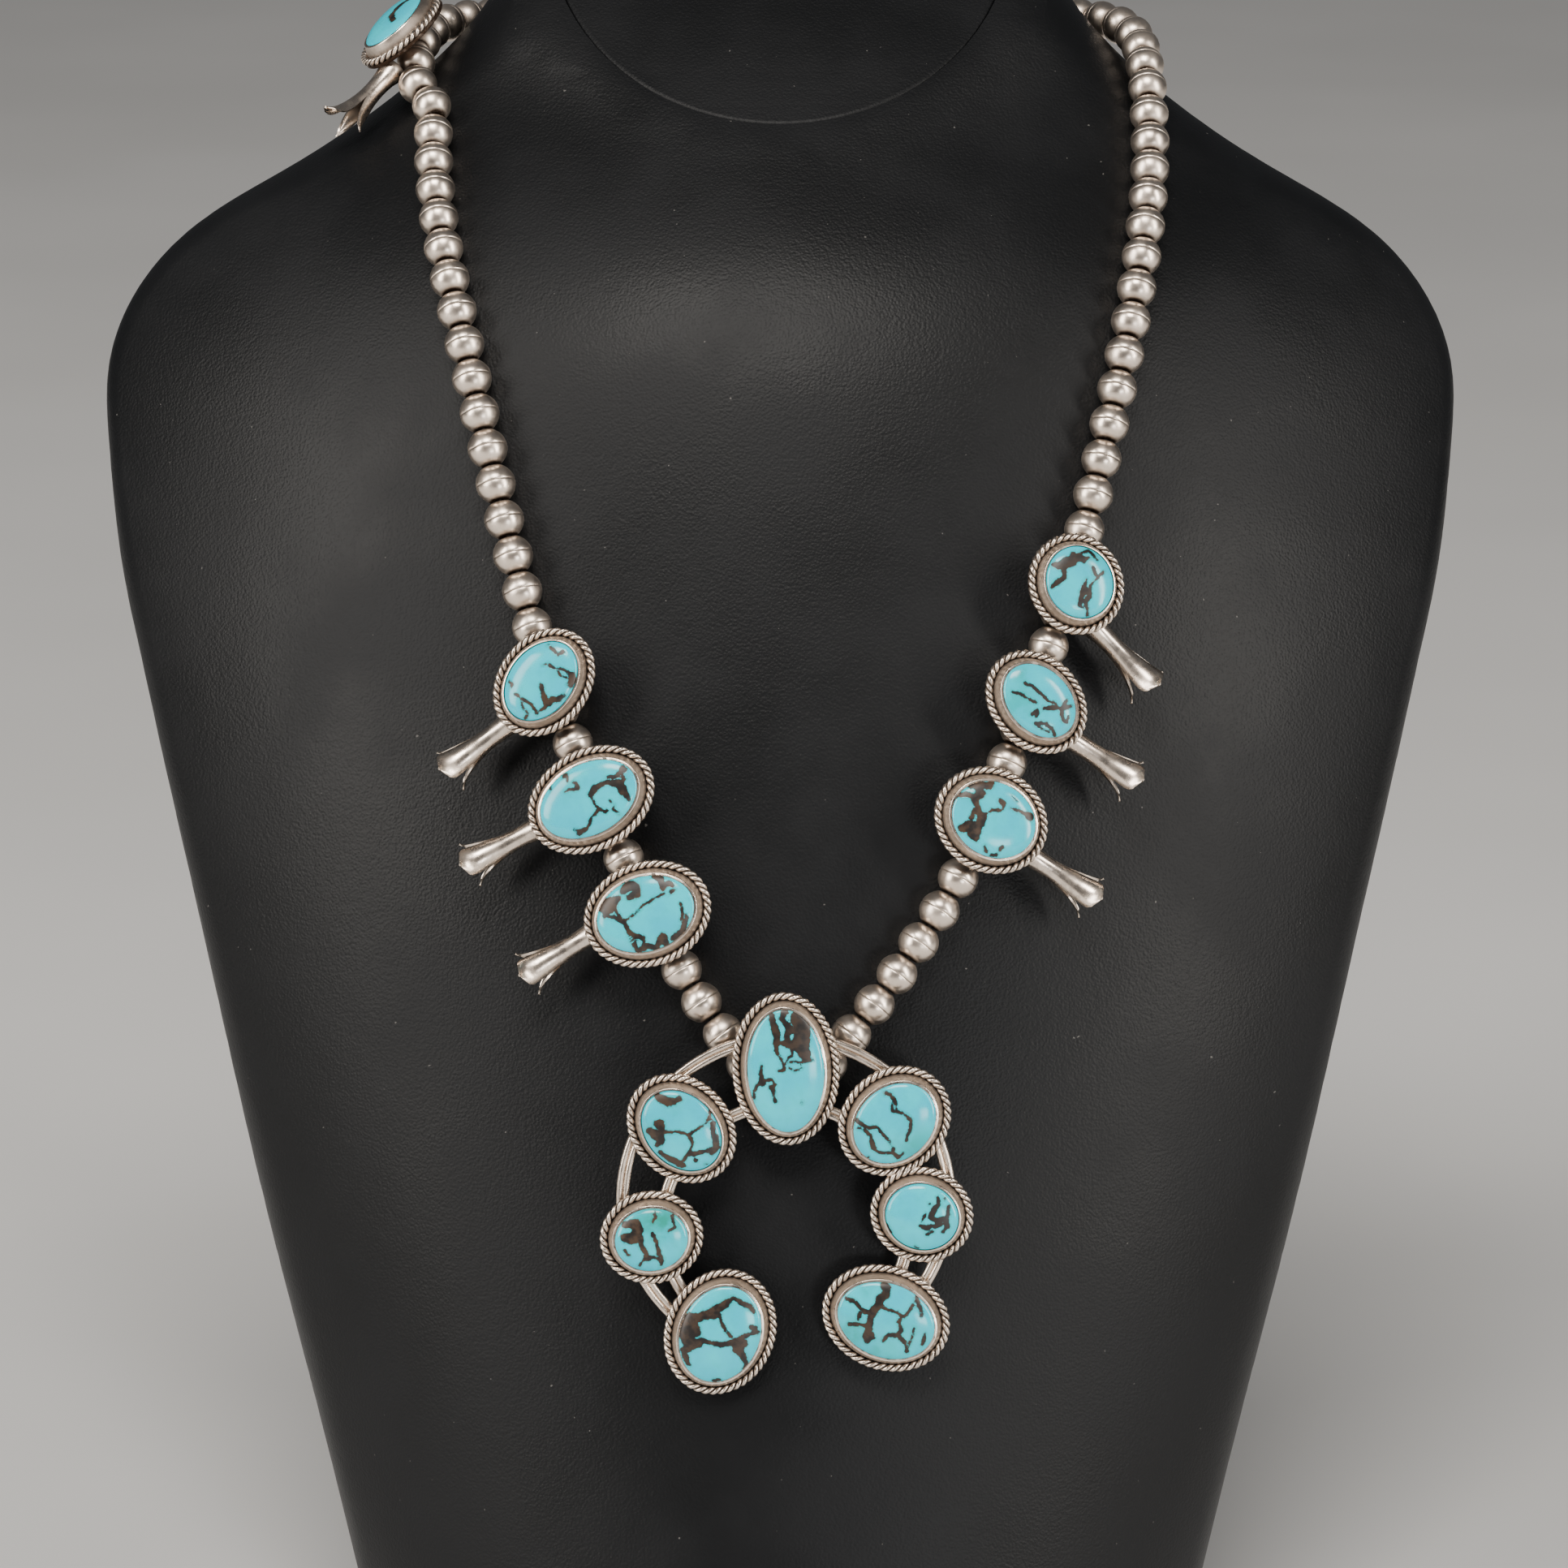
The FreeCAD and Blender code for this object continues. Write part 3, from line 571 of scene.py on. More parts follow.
@dataclass(frozen=True)
class LeatheretteFinish:
    """Black leatherette with a fine pebbled grain, a soft grey sheen and a few specks of dust."""

    name: str = "black_leatherette"
    dark: tuple[float, float, float, float] = (0.0036, 0.0040, 0.0046, 1)
    worn: tuple[float, float, float, float] = (0.0065, 0.0070, 0.0080, 1)
    dust: tuple[float, float, float, float] = (0.10, 0.095, 0.09, 1)
    cell_scale: float = 2100.0
    sheen: float = 0.22

    def build(self, effects: Effects) -> bpy.types.Material:
        """Make the material.

        Args:
            effects: The shared groups.

        Returns:
            The material.
        """
        material, g, surface = new_material(self.name)
        place = g.place()
        pebbles = g.add("ShaderNodeTexVoronoi", feature="SMOOTH_F1")
        pebbles.inputs["Scale"].default_value = self.cell_scale
        g.feed(pebbles.inputs["Vector"], place)
        grain = g.group(effects.grain, Vector=place, Scale=1500.0, Coarse=0.8)
        height = g.sum("ADD", g.sum("MULTIPLY", pebbles.outputs["Distance"], -1.0),
                       g.sum("MULTIPLY", grain.outputs["Height"], 0.6))
        bump = g.add("ShaderNodeBump")
        bump.inputs["Strength"].default_value = 0.30
        bump.inputs["Distance"].default_value = 0.0002
        g.feed(bump.inputs["Height"], height)
        patches = g.group(effects.cloud, Vector=place, Scale=26.0, Low=0.3, High=0.75)
        specks = g.remap(g.noise(place, 900.0, 1.0), 0.80, 0.825, 0.0, 1.0)
        colour = g.mix(patches.outputs["Mask"], self.dark, self.worn)
        g.feed(surface.inputs["Base Color"], g.mix(specks, colour, self.dust))
        surface.inputs["Specular IOR Level"].default_value = self.sheen
        g.feed(surface.inputs["Roughness"], g.remap(patches.outputs["Mask"], 0.0, 1.0, 0.42, 0.52))
        g.feed(surface.inputs["Normal"], bump.outputs["Normal"])
        return material


@dataclass(frozen=True)
class ThreadFinish:
    """Dark twisted bead thread."""

    name: str = "bead_thread"
    dark: tuple[float, float, float, float] = (0.02, 0.018, 0.016, 1)
    light: tuple[float, float, float, float] = (0.07, 0.06, 0.05, 1)

    def build(self, effects: Effects) -> bpy.types.Material:
        """Make the material.

        Args:
            effects: The shared groups.

        Returns:
            The material.
        """
        material, g, surface = new_material(self.name)
        place = g.place()
        fibres = g.group(effects.cloud, Vector=place, Scale=2600.0, Low=0.35, High=0.65)
        grain = g.group(effects.grain, Vector=place, Scale=5000.0, Coarse=0.5)
        bump = g.add("ShaderNodeBump")
        bump.inputs["Strength"].default_value = 0.5
        bump.inputs["Distance"].default_value = 0.0002
        g.feed(bump.inputs["Height"], grain.outputs["Height"])
        g.feed(surface.inputs["Base Color"], g.mix(fibres.outputs["Mask"], self.dark, self.light))
        surface.inputs["Roughness"].default_value = 0.85
        g.feed(surface.inputs["Normal"], bump.outputs["Normal"])
        return material


def new_material(name: str) -> tuple[bpy.types.Material, Graph, bpy.types.Node]:
    """Start a material with its Principled shader.

    Args:
        name: The material's name.

    Returns:
        The material, its graph and the shader node.
    """
    material = bpy.data.materials.new(name)
    material.use_nodes = True
    graph = Graph(material.node_tree)
    return material, graph, material.node_tree.nodes["Principled BSDF"]


# The stones' charts: each stroke runs through points of (x, y, half width) in millimetres from the
# stone's middle, x to the right and y up on the chest. Each green spot is (x, y, radius, strength).


@dataclass(frozen=True)
class Chart:
    """The host rock in one stone."""

    strokes: tuple[tuple[tuple[float, float, float], ...], ...]
    dark: float = 0.3
    green: tuple[tuple[float, float, float, float], ...] = ()

    def depth(self, x: np.ndarray, y: np.ndarray) -> np.ndarray:
        """How far each point lies outside the nearest stroke, in millimetres.

        Args:
            x: The points' x.
            y: The points' y.

        Returns:
            The distances, negative inside a stroke.
        """
        best = np.full(x.shape, 9.0)
        for stroke in self.strokes:
            ends = stroke if len(stroke) > 1 else stroke * 2
            for (ax, ay, aw), (bx, by, bw) in zip(ends, ends[1:]):
                run = max((bx - ax) ** 2 + (by - ay) ** 2, 1e-6)
                t = np.clip(((x - ax) * (bx - ax) + (y - ay) * (by - ay)) / run, 0, 1)
                gap = np.hypot(x - ax - t * (bx - ax), y - ay - t * (by - ay))
                best = np.minimum(best, gap - (aw + t * (bw - aw)))
        return best

    def greenness(self, x: np.ndarray, y: np.ndarray) -> np.ndarray:
        """How green each point is.

        Args:
            x: The points' x.
            y: The points' y.

        Returns:
            Values from 0 to 1.
        """
        total = np.zeros(x.shape)
        for cx, cy, radius, strength in self.green:
            total += strength * np.exp(-((x - cx) ** 2 + (y - cy) ** 2) / radius ** 2)
        return np.clip(total, 0, 1)


CHARTS = {
    "left_1": Chart((
        ((1.5, 6.6, .12), (2.6, 5.7, .15), (3.4, 4.7, .12), (4.3, 5.3, .2)),
        ((0.6, 2.8, .08), (1.6, 3.0, .12), (2.9, 2.2, .1), (4.4, 2.0, .12), (5.2, 1.6, .2)),
        ((3.4, 1.9, .08), (3.9, 0.9, .1), (4.9, 0.4, .12)),
        ((6.0, 1.2, .4), (6.2, -0.1, .5), (5.7, -0.9, .4)),
        ((0.4, -0.9, .22), (0.6, -2.0, .35), (1.0, -3.4, .4), (1.5, -4.3, .5), (2.4, -3.7, .45),
         (3.6, -3.5, .35), (4.6, -2.8, .2)),
        ((-6.0, 0.2, .08), (-5.2, -0.6, .12), (-5.5, -1.1, .08)),
        ((-4.6, -2.4, .12), (-3.3, -3.4, .15), (-1.6, -4.4, .12), (-0.9, -5.4, .15), (-0.5, -6.2, .12)),
        ((-3.6, -3.3, .12), (-3.3, -4.8, .12), (-2.3, -6.1, .15), (-2.9, -6.9, .15)),
        ((-0.9, -6.1, .08), (0.9, -5.1, .1))), 0.2, ((3.0, 1.2, 1.6, .25),)),
    "left_2": Chart((
        ((0.7, 0.8, .45), (1.5, 2.1, .5), (2.6, 2.7, .35), (3.8, 3.1, .3), (4.8, 3.0, .5), (6.0, 2.9, .7),
         (6.6, 1.6, .7), (7.3, 0.6, .45), (7.7, -0.2, .2)),
        ((3.8, 4.1, .2), (4.9, 4.0, .35), (5.6, 4.3, .3), (6.3, 5.3, .35), (6.6, 5.9, .2), (7.0, 5.3, .25)),
        ((6.2, 5.2, .3), (6.7, 3.7, .35), (6.2, 2.7, .5)),
        ((0.7, 0.5, .15), (1.3, -0.9, .1), (2.2, -1.9, .18), (0.8, -3.4, .12), (0.4, -4.4, .12),
         (0.05, -5.4, .15), (-1.2, -5.9, .35), (-1.7, -6.5, .3)),
        ((2.2, -1.9, .15), (3.3, -2.5, .15), (3.8, -2.1, .08)),
        ((4.3, -0.4, .1), (5.0, -1.2, .08), (4.8, -1.9, .08), (6.0, -2.9, .08)),
        ((-1.2, -5.9, .2), (-2.4, -5.6, .15)),
        ((-4.8, 4.1, .2), (-4.0, 4.5, .25), (-3.9, 3.4, .1)),
        ((-2.7, 3.1, .15), (-2.0, 2.7, .25), (-1.9, 1.9, .25), (-3.2, 1.9, .08), (-4.2, 1.4, .05)),
        ((-7.2, 2.1, .2), (-7.0, 1.6, .15))), 0.45, ((-4.0, 2.5, 2.5, .3),)),
    "left_3": Chart((
        ((-4.0, 4.4, .7), (-3.0, 5.3, .8), (-1.8, 4.9, .8), (-1.4, 3.7, .6), (-2.8, 3.2, .5)),
        ((1.7, 7.0, .4), (2.8, 6.5, .6), (3.2, 5.8, .5), (3.3, 4.6, .25), (4.4, 5.9, .35), (5.2, 5.3, .3)),
        ((4.8, 4.1, .25), (5.4, 4.4, .25)),
        ((-8.3, 0.9, .5), (-7.0, 2.1, .8), (-5.8, 2.4, .8), (-4.9, 2.9, .4), (-6.3, 1.1, .7),
         (-7.5, -0.4, .3)),
        ((-7.5, -0.2, .2), (-5.8, -0.7, .25), (-4.3, -1.2, .3), (-3.8, -1.6, .3)),
        ((-5.8, 1.1, .15), (-4.3, -0.9, .2)),
        ((-3.8, -1.2, .12), (-2.0, -0.2, .1), (-0.3, 1.6, .1), (1.9, 2.9, .1), (3.7, 3.9, .08)),
        ((-3.6, -1.9, .2), (-3.0, -3.2, .3), (-2.3, -3.7, .35), (-1.1, -4.2, .3), (-0.5, -4.7, .15)),
        ((-2.3, -3.7, .2), (-2.0, -4.9, .2), (-1.8, -6.2, .25), (-1.1, -6.8, .2)),
        ((-3.0, -3.2, .15), (-2.8, -4.9, .12), (-1.6, -6.7, .12)),
        ((-2.3, -3.7, .12), (-0.1, -4.4, .12), (-0.3, -5.4, .1)),
        ((-1.1, -6.8, .4), (0.7, -5.9, .35), (2.2, -6.2, .5), (2.7, -4.4, .3), (3.4, -4.2, .6),
         (3.8, -5.2, .5)),
        ((5.2, -4.4, .4), (6.9, -3.2, .35), (7.6, -1.3, .35), (7.8, -.3, .2)),
        ((6.7, 1.9, .1), (7.1, .6, .12), (6.9, -1.1, .12))), 0.25, ((-2.5, 4.4, 2.2, .4),)),
    "left_4": Chart((
        ((1.0, -3.5, .5), (0.5, -0.5, .6), (2.0, 1.5, .6), (4.0, 2.5, .5)),), 0.1),
    "right_1": Chart((
        ((-5.3, 3.0, .35), (-3.5, 2.9, .9), (-2.2, 3.6, 1.0), (-0.6, 4.6, .6), (0.5, 4.1, .5),
         (1.5, 4.5, .12)),
        ((-2.2, 3.6, .7), (-1.5, 5.1, .4)),
        ((-3.4, 2.2, .3), (-3.3, 0.9, .35), (-4.3, -0.1, .45), (-5.6, -1.2, .2)),
        ((0.9, 0.4, .12), (0.5, -0.9, .3), (0.1, -2.3, .5), (-0.4, -4.4, .3)),
        ((1.6, -0.9, .2), (1.4, -2.9, .4), (0.7, -3.9, .3), (1.2, -5.4, .15), (1.4, -6.2, .12)),
        ((0.5, -1.9, .6), (1.3, -1.7, .4)),
        ((-0.4, -4.6, .15), (0.3, -4.9, .1)),
        ((2.3, 2.8, .15), (2.7, 1.3, .25)),
        ((2.0, -0.4, .06), (3.2, 0.8, .08), (4.5, 2.1, .06)),
        ((0.0, 5.4, .1), (1.7, 5.9, .2), (3.2, 4.1, .1))), 0.6, ((2.4, 4.6, 1.8, .45),)),
    "right_2": Chart((
        ((-3.0, 3.0, .15), (-1.7, 2.5, .2), (-0.7, 1.8, .25), (0.1, 1.0, .25), (1.3, -0.2, .15),
         (2.5, -0.5, .15)),
        ((-5.5, 1.5, .08), (-3.7, 1.0, .12), (-2.2, 0, .12), (-1.0, -0.5, .15)),
        ((0.6, -1.5, .3), (2.0, -1.3, .35), (4.0, -1.5, .3), (5.0, 0.3, .15)),
        ((4.0, -1.5, .25), (4.8, -1.2, .3), (6.0, -0.9, .12)),
        ((4.0, -1.5, .2), (3.9, -2.5, .2), (4.3, -3.6, .2), (5.0, -4.0, .15), (5.4, -2.9, .12)),
        ((-1.7, -2.6, .25), (-0.7, -2.0, .3), (-1.0, -3.0, .15)),
        ((-1.0, -4.2, .2), (1.0, -4.4, .2), (2.0, -5.2, .25), (2.8, -6.4, .2)),
        ((-1.0, -4.4, .1), (0.3, -5.4, .12), (1.8, -5.9, .12)),
        ((2.5, -0.5, .1), (3.5, -1.2, .1))), 0.7, ((-4.5, 0.0, 3.5, .5), (-3.5, 5.0, 1.6, .5))),
    "right_3": Chart((
        ((-4.6, 6.4, .5), (-3.1, 6.4, .6), (-0.9, 6.3, .5), (-0.4, 6.9, .4)),
        ((-3.1, 5.9, .6), (-2.6, 4.9, .7), (-3.9, 3.9, .6), (-3.6, 2.9, .4), (-3.1, 1.4, .5), (-2.4, 0.4, .7),
         (-2.9, -0.8, .7), (-3.9, -1.8, 1.2), (-5.1, -1.3, 1.0), (-6.1, -1.6, .7)),
        ((-7.1, 4.4, .3), (-5.6, 4.7, .4), (-3.9, 4.2, .5)),
        ((-4.1, -2.6, 1.1), (-3.6, -3.5, .5)),
        ((-4.6, 0.2, .35), (-3.9, 1.9, .2)),
        ((-2.4, 0.7, .15), (-0.6, 1.7, .12), (0.9, 1.7, .12)),
        ((0.9, 3.7, .3), (1.6, 2.9, .4), (1.4, 2.0, .2)),
        ((2.9, 2.2, .12), (4.2, 1.7, .12), (5.3, 1.4, .25), (6.4, 0.8, .6), (6.9, 0.6, .6)),
        ((3.4, 4.4, .08), (4.2, 3.4, .1)),
        ((-1.9, -5.1, .2), (-1.6, -5.8, .15)),
        ((0.9, -5.5, .3), (1.4, -5.1, .2)),
        ((0.4, -6.5, .25), (-0.6, -6.6, .25))), 0.1, ((-4.0, 5.0, 2.2, .4),)),
    "naja_top": Chart((
        ((-2.6, 10.5, .35), (-2.3, 9.0, .6), (-1.8, 7.5, .6), (-1.8, 6.0, .5), (-1.8, 4.2, .25),
         (-1.5, 3.2, .15), (-0.8, 2.5, .15), (-0.3, 1.2, .25), (-0.3, 0.5, .2), (-1.3, 0.2, .08)),
        ((-0.3, 11, .6), (-0.8, 9.8, .4), (0.5, 8.3, .5), (0.2, 6.8, .4), (0.5, 5.0, .5)),
        ((2.0, 10, 1.1), (3.0, 8.5, 1.3), (3.4, 7.0, 1.0), (3.0, 4.5, 1.2), (3.6, 3.0, .9)),
        ((0.5, 8.3, .4), (2.0, 7.3, .4), (1.7, 5.5, .5), (1.2, 4.5, .4)),
        ((-1.8, 5.5, .3), (0, 5.3, .3), (1.2, 5.5, .3)),
        ((-0.3, 1.5, .12), (0.5, 2.8, .12), (1.2, 3.2, .15), (1.0, 4.5, .2)),
        ((0.5, 1.8, .1), (1.5, 2.0, .12), (2.5, 1.8, .12), (4.0, 2.0, .15), (5.0, 2.3, .12)),
        ((2.5, 1.8, .1), (3.0, .8, .1), (1.5, .2, .12), (.6, .8, .1)),
        ((-4.6, -0.5, .25), (-4.5, -2.0, .55), (-5.3, -2.5, .2)),
        ((-4.5, -1.9, .3), (-3.8, -1.5, .25), (-2.6, -1.4, .15), (-2.1, -2.2, .25), (-2.8, -2.9, .4)),
        ((-2.5, -3.2, .3), (-2.1, -5.0, .12), (-1.9, -5.5, .2)),
        ((-5.3, -2.5, .12), (-5.9, -4.0, .12), (-5.8, -5.3, .1)),
        ((-4.4, 1.3, .12), (-4.6, 0, .1)),
        ((3.0, -5.8, .1),)), 0.45),
    "naja_left_upper": Chart((
        ((-4.4, 6.5, .5), (-3.4, 6.0, .7), (-1.9, 5.6, .6), (-0.3, 6.1, .35)),
        ((-2.6, 5.0, .2),),
        ((-4.1, 1.5, .8), (-3.4, 0, .4), (-4.4, -0.8, .9), (-5.6, 0, .7)),
        ((-4.4, -0.8, .8), (-3.6, -1.6, .5), (-4.5, -2.4, .4)),
        ((-3.1, 0, .3), (-0.9, 0.1, .12), (0.6, -0.2, .15), (1.3, -0.6, .3), (2.3, 0, .12), (3.2, 0.8, .12),
         (4.4, 1.5, .12), (5.1, 2.4, .25), (5.5, 4.2, .25)),
        ((1.3, -0.7, .2), (1.9, -1.2, .25), (2.1, -2.4, .12), (1.4, -3.7, .15)),
        ((5.8, 1.5, .35), (5.9, 0, .4), (6.3, -1.5, .5), (6.5, -3.0, .5), (5.6, -4.0, .4)),
        ((-3.8, -4.0, .3), (-2.9, -4.7, .35), (-1.4, -5.5, .55), (0.2, -6.4, .5)),
        ((0.4, -5.4, .25), (1.2, -4.2, .25), (2.7, -4.1, .35), (4.4, -3.6, .25), (5.6, -3.3, .4)),
        ((2.7, -5.4, .3),), ((4.5, -6.2, .2),)), 0.25, ((-5.0, 0.5, 2.0, .4), (-1.5, 5.0, 1.6, .4))),
    "naja_right_upper": Chart((
        ((-1.9, 5.8, .25), (-0.7, 5.6, .25), (0.1, 4.1, .15), (0.3, 2.6, .12), (1.8, 1.8, .12),
         (2.9, .8, .25), (3.0, -.7, .12), (2.4, -2.0, .1), (2.1, -3.0, .08)),
        ((-0.4, 4.1, .06), (-0.4, 2.6, .1), (0.3, 2.4, .1)),
        ((-6.9, .6, .3), (-5.9, -.2, .35), (-4.9, -.6, .2), (-3.2, -.5, .2), (-2.7, -1.2, .2)),
        ((-6.7, -.9, .12), (-5.4, -1.2, .15), (-4.4, -2.2, .15), (-4.2, -3.7, .35), (-3.9, -4.6, .4)),
        ((-2.7, -1.2, .12), (-1.4, -2.7, .12), (-.4, -4.2, .12), (-.2, -5.4, .3), (-2.2, -5.4, .15),
         (-3.7, -4.9, .15)),
        ((-.2, -5.4, .25), (.6, -6.2, .3), (1.6, -5.4, .15)),
        ((-4.9, -6.4, .15),)), 0.4, ((3.5, -4.0, 3.5, .6),)),
    "naja_left_middle": Chart((
        ((-4.8, 2.9, .5), (-2.8, 3.1, .8), (-2.5, 1.9, .9), (-3.0, .6, 1.0), (-4.8, .4, .8)),
        ((-2.3, 1.1, .6), (-1.8, -.7, .4), (-1.0, -2.4, .3), (-.5, -3.4, .4)),
        ((.3, 1.4, .2), (1.0, -.4, .25), (1.5, -2.4, .25), (2.0, -3.2, .2)),
        ((-1.0, -2.9, .2), (.8, -3.2, .2), (2.0, -3.7, .25), (1.8, -4.7, .15)),
        ((-1, -3.2, .15), (-2.2, -4.7, .15)),
        ((.5, 5.4, .12), (.8, 4.4, .15), (.3, 3.6, .15)),
        ((3.8, 4.6, .15), (4.3, 2.6, .12), (3.3, 1.9, .12)),
        ((-4.8, -1.9, .15), (-4.3, -2.7, .2))), 0.1, ((0.5, 4.0, 3.6, .9), (3.5, 3.0, 2.5, .5))),
    "naja_right_middle": Chart((
        ((2.9, 3.8, .2), (3.0, 2.6, .3), (1.9, 1.1, .45), (1.7, .1, .4), (2.4, -.4, .3), (3.7, -.2, .4)),
        ((4.9, 2.1, .2), (4.7, .6, .3), (4.4, -.4, .45), (4.7, -1.6, .35), (3.9, -2.6, .2)),
        ((.6, .8, .12), (-.1, -.6, .06)),
        ((-.3, -1.4, .2), (.9, -1.9, .4), (1.7, -1.4, .3), (2.4, -1.6, .25), (3.4, -1.1, .3)),
        ((.9, -3.1, .2), (1.9, -2.6, .2)),
        ((4.2, 3.6, .12),), ((1.4, 2.7, .1),),
        ((-1.3, -5.4, .12), (-.8, -5.8, .15)),
        ((-6.4, -1.6, .1), (-5.9, -2.8, .12))), 0.85),
    "naja_left_lower": Chart((
        ((-6.0, 3.4, .6), (-4.0, 3.4, .7), (-1.0, 4.9, .5), (1.0, 5.9, .6), (2.5, 7.1, .25), (4.0, 6.1, .4),
         (5.5, 5.4, .4), (6.2, 4.4, .2)),
        ((-7.0, 2.4, .9), (-5.5, 2.4, 1.2), (-4.5, .9, .8), (-6.3, 0, 1.3), (-5.5, -1.6, 1.1),
         (-4.0, -1.4, .7)),
        ((-5.8, -2.6, .5), (-6.9, -2.8, .4), (-6.3, -4.6, .45), (-5.8, -5.7, .2)),
        ((-3.5, -.9, .4), (-1.5, -1.4, .3), (0, -1.6, .4), (1.8, -1.4, .3), (3.5, -1.9, .9), (4.5, -1.4, .6)),
        ((1.5, -1.3, .3), (2.5, -.9, .3), (4.0, -.4, .4), (5.0, .1, .25), (7.0, .6, .25)),
        ((3.3, -2.4, .9), (4.0, -3.6, .6), (4.8, -5.1, .25)),
        ((0, 3.6, .25), (.2, 2.6, .2), (1.0, 1.1, .15), (2.0, -.1, .2)),
        ((-3.5, 3.4, .4), (-1.8, 3.6, .4), (-.2, 3.9, .4)),
        ((5.8, 1.6, .3), (6.3, 1.1, .3), (6.8, 1.4, .2)),
        ((5.0, -5.7, .3), (4.5, -6.4, .25)),
        ((-1.2, -8.8, .2), (-.2, -8.5, .15))), 0.3, ((1.0, 6.5, 1.8, .35), (-6.0, 1.0, 2.5, .3))),
    "naja_right_lower": Chart((
        ((-.6, 7.0, .35), (-.1, 6.3, .7), (.1, 5.0, .5), (-1.1, 4.5, .7), (-1.6, 3.0, .7), (-2.6, 1.8, .7),
         (-2.9, .8, .5), (-3.1, -1.0, .5), (-3.6, -2.9, .6)),
        ((-7.3, 4.3, .3), (-5.8, 3.8, .25), (-4.8, 2.5, .2), (-4.1, 2.0, .35), (-3.1, 1.8, .3)),
        ((-6.8, -.5, .25), (-4.4, -.5, .2), (-3.3, -.7, .3)),
        ((-4.8, 1.8, .35), (-5.1, .5, .2)),
        ((-3.3, -1.5, .35), (-2.4, -3.0, .25), (-3.6, -3.5, .5)),
        ((-1.6, 3.0, .2), (-.1, 2.5, .12), (1.6, 2.0, .12), (3.2, 1.0, .15), (4.1, 2.0, .12), (4.9, 3.0, .2)),
        ((5.7, 4.5, .25), (5.9, 3.3, .2), (6.7, 1.8, .25), (6.4, 1.0, .1)),
        ((2.9, 1.0, .1), (2.4, 0, .25), (2.7, -1.5, .3), (2.1, -2.5, .35), (.4, -2.5, .25), (-.6, -3.5, .15)),
        ((2.1, -2.5, .25), (3.2, -3.5, .25), (3.7, -5.0, .15), (3.9, -5.7, .2)),
        ((5.2, -1.2, .15), (4.9, -2.5, .15), (4.2, -4.5, .12)),
        ((7.2, -2.5, .15), (6.7, -4.5, .15))), 0.35,
        ((-6.0, -2.0, 2.6, .8), (-1.0, -6.0, 3.0, .5), (4.5, -2.0, 2.5, .3), (-3.5, 6.0, 1.4, .5))),
}


# The settings


@dataclass(frozen=True)
class SettingSizes:
    """The sizes that all the settings share, in millimetres, as in the part's source."""

    plate: float = 0.8
    plate_reach: float = 2.5
    bezel_height: float = 3.0
    bezel_foot: float = 1.3
    bezel_lip: float = 0.35
    bezel_wall: float = 0.35
    rope_reach: float = 2.07
    rope_lift: float = 0.62
    rope_radius: float = 0.78
    rope_pitch: float = 2.9
    rope_steps: int = 9
    stone_gap: float = 0.1
    dome_rise: float = 1.38
    plate_facets: int = 64
    bezel_facets: int = 72
    stone_facets: int = 96

    @property
    def foot_height(self) -> float:
        """How far the stone's flat foot lies above the back of the plate."""
        return self.plate + self.stone_gap


SETTING = SettingSizes()


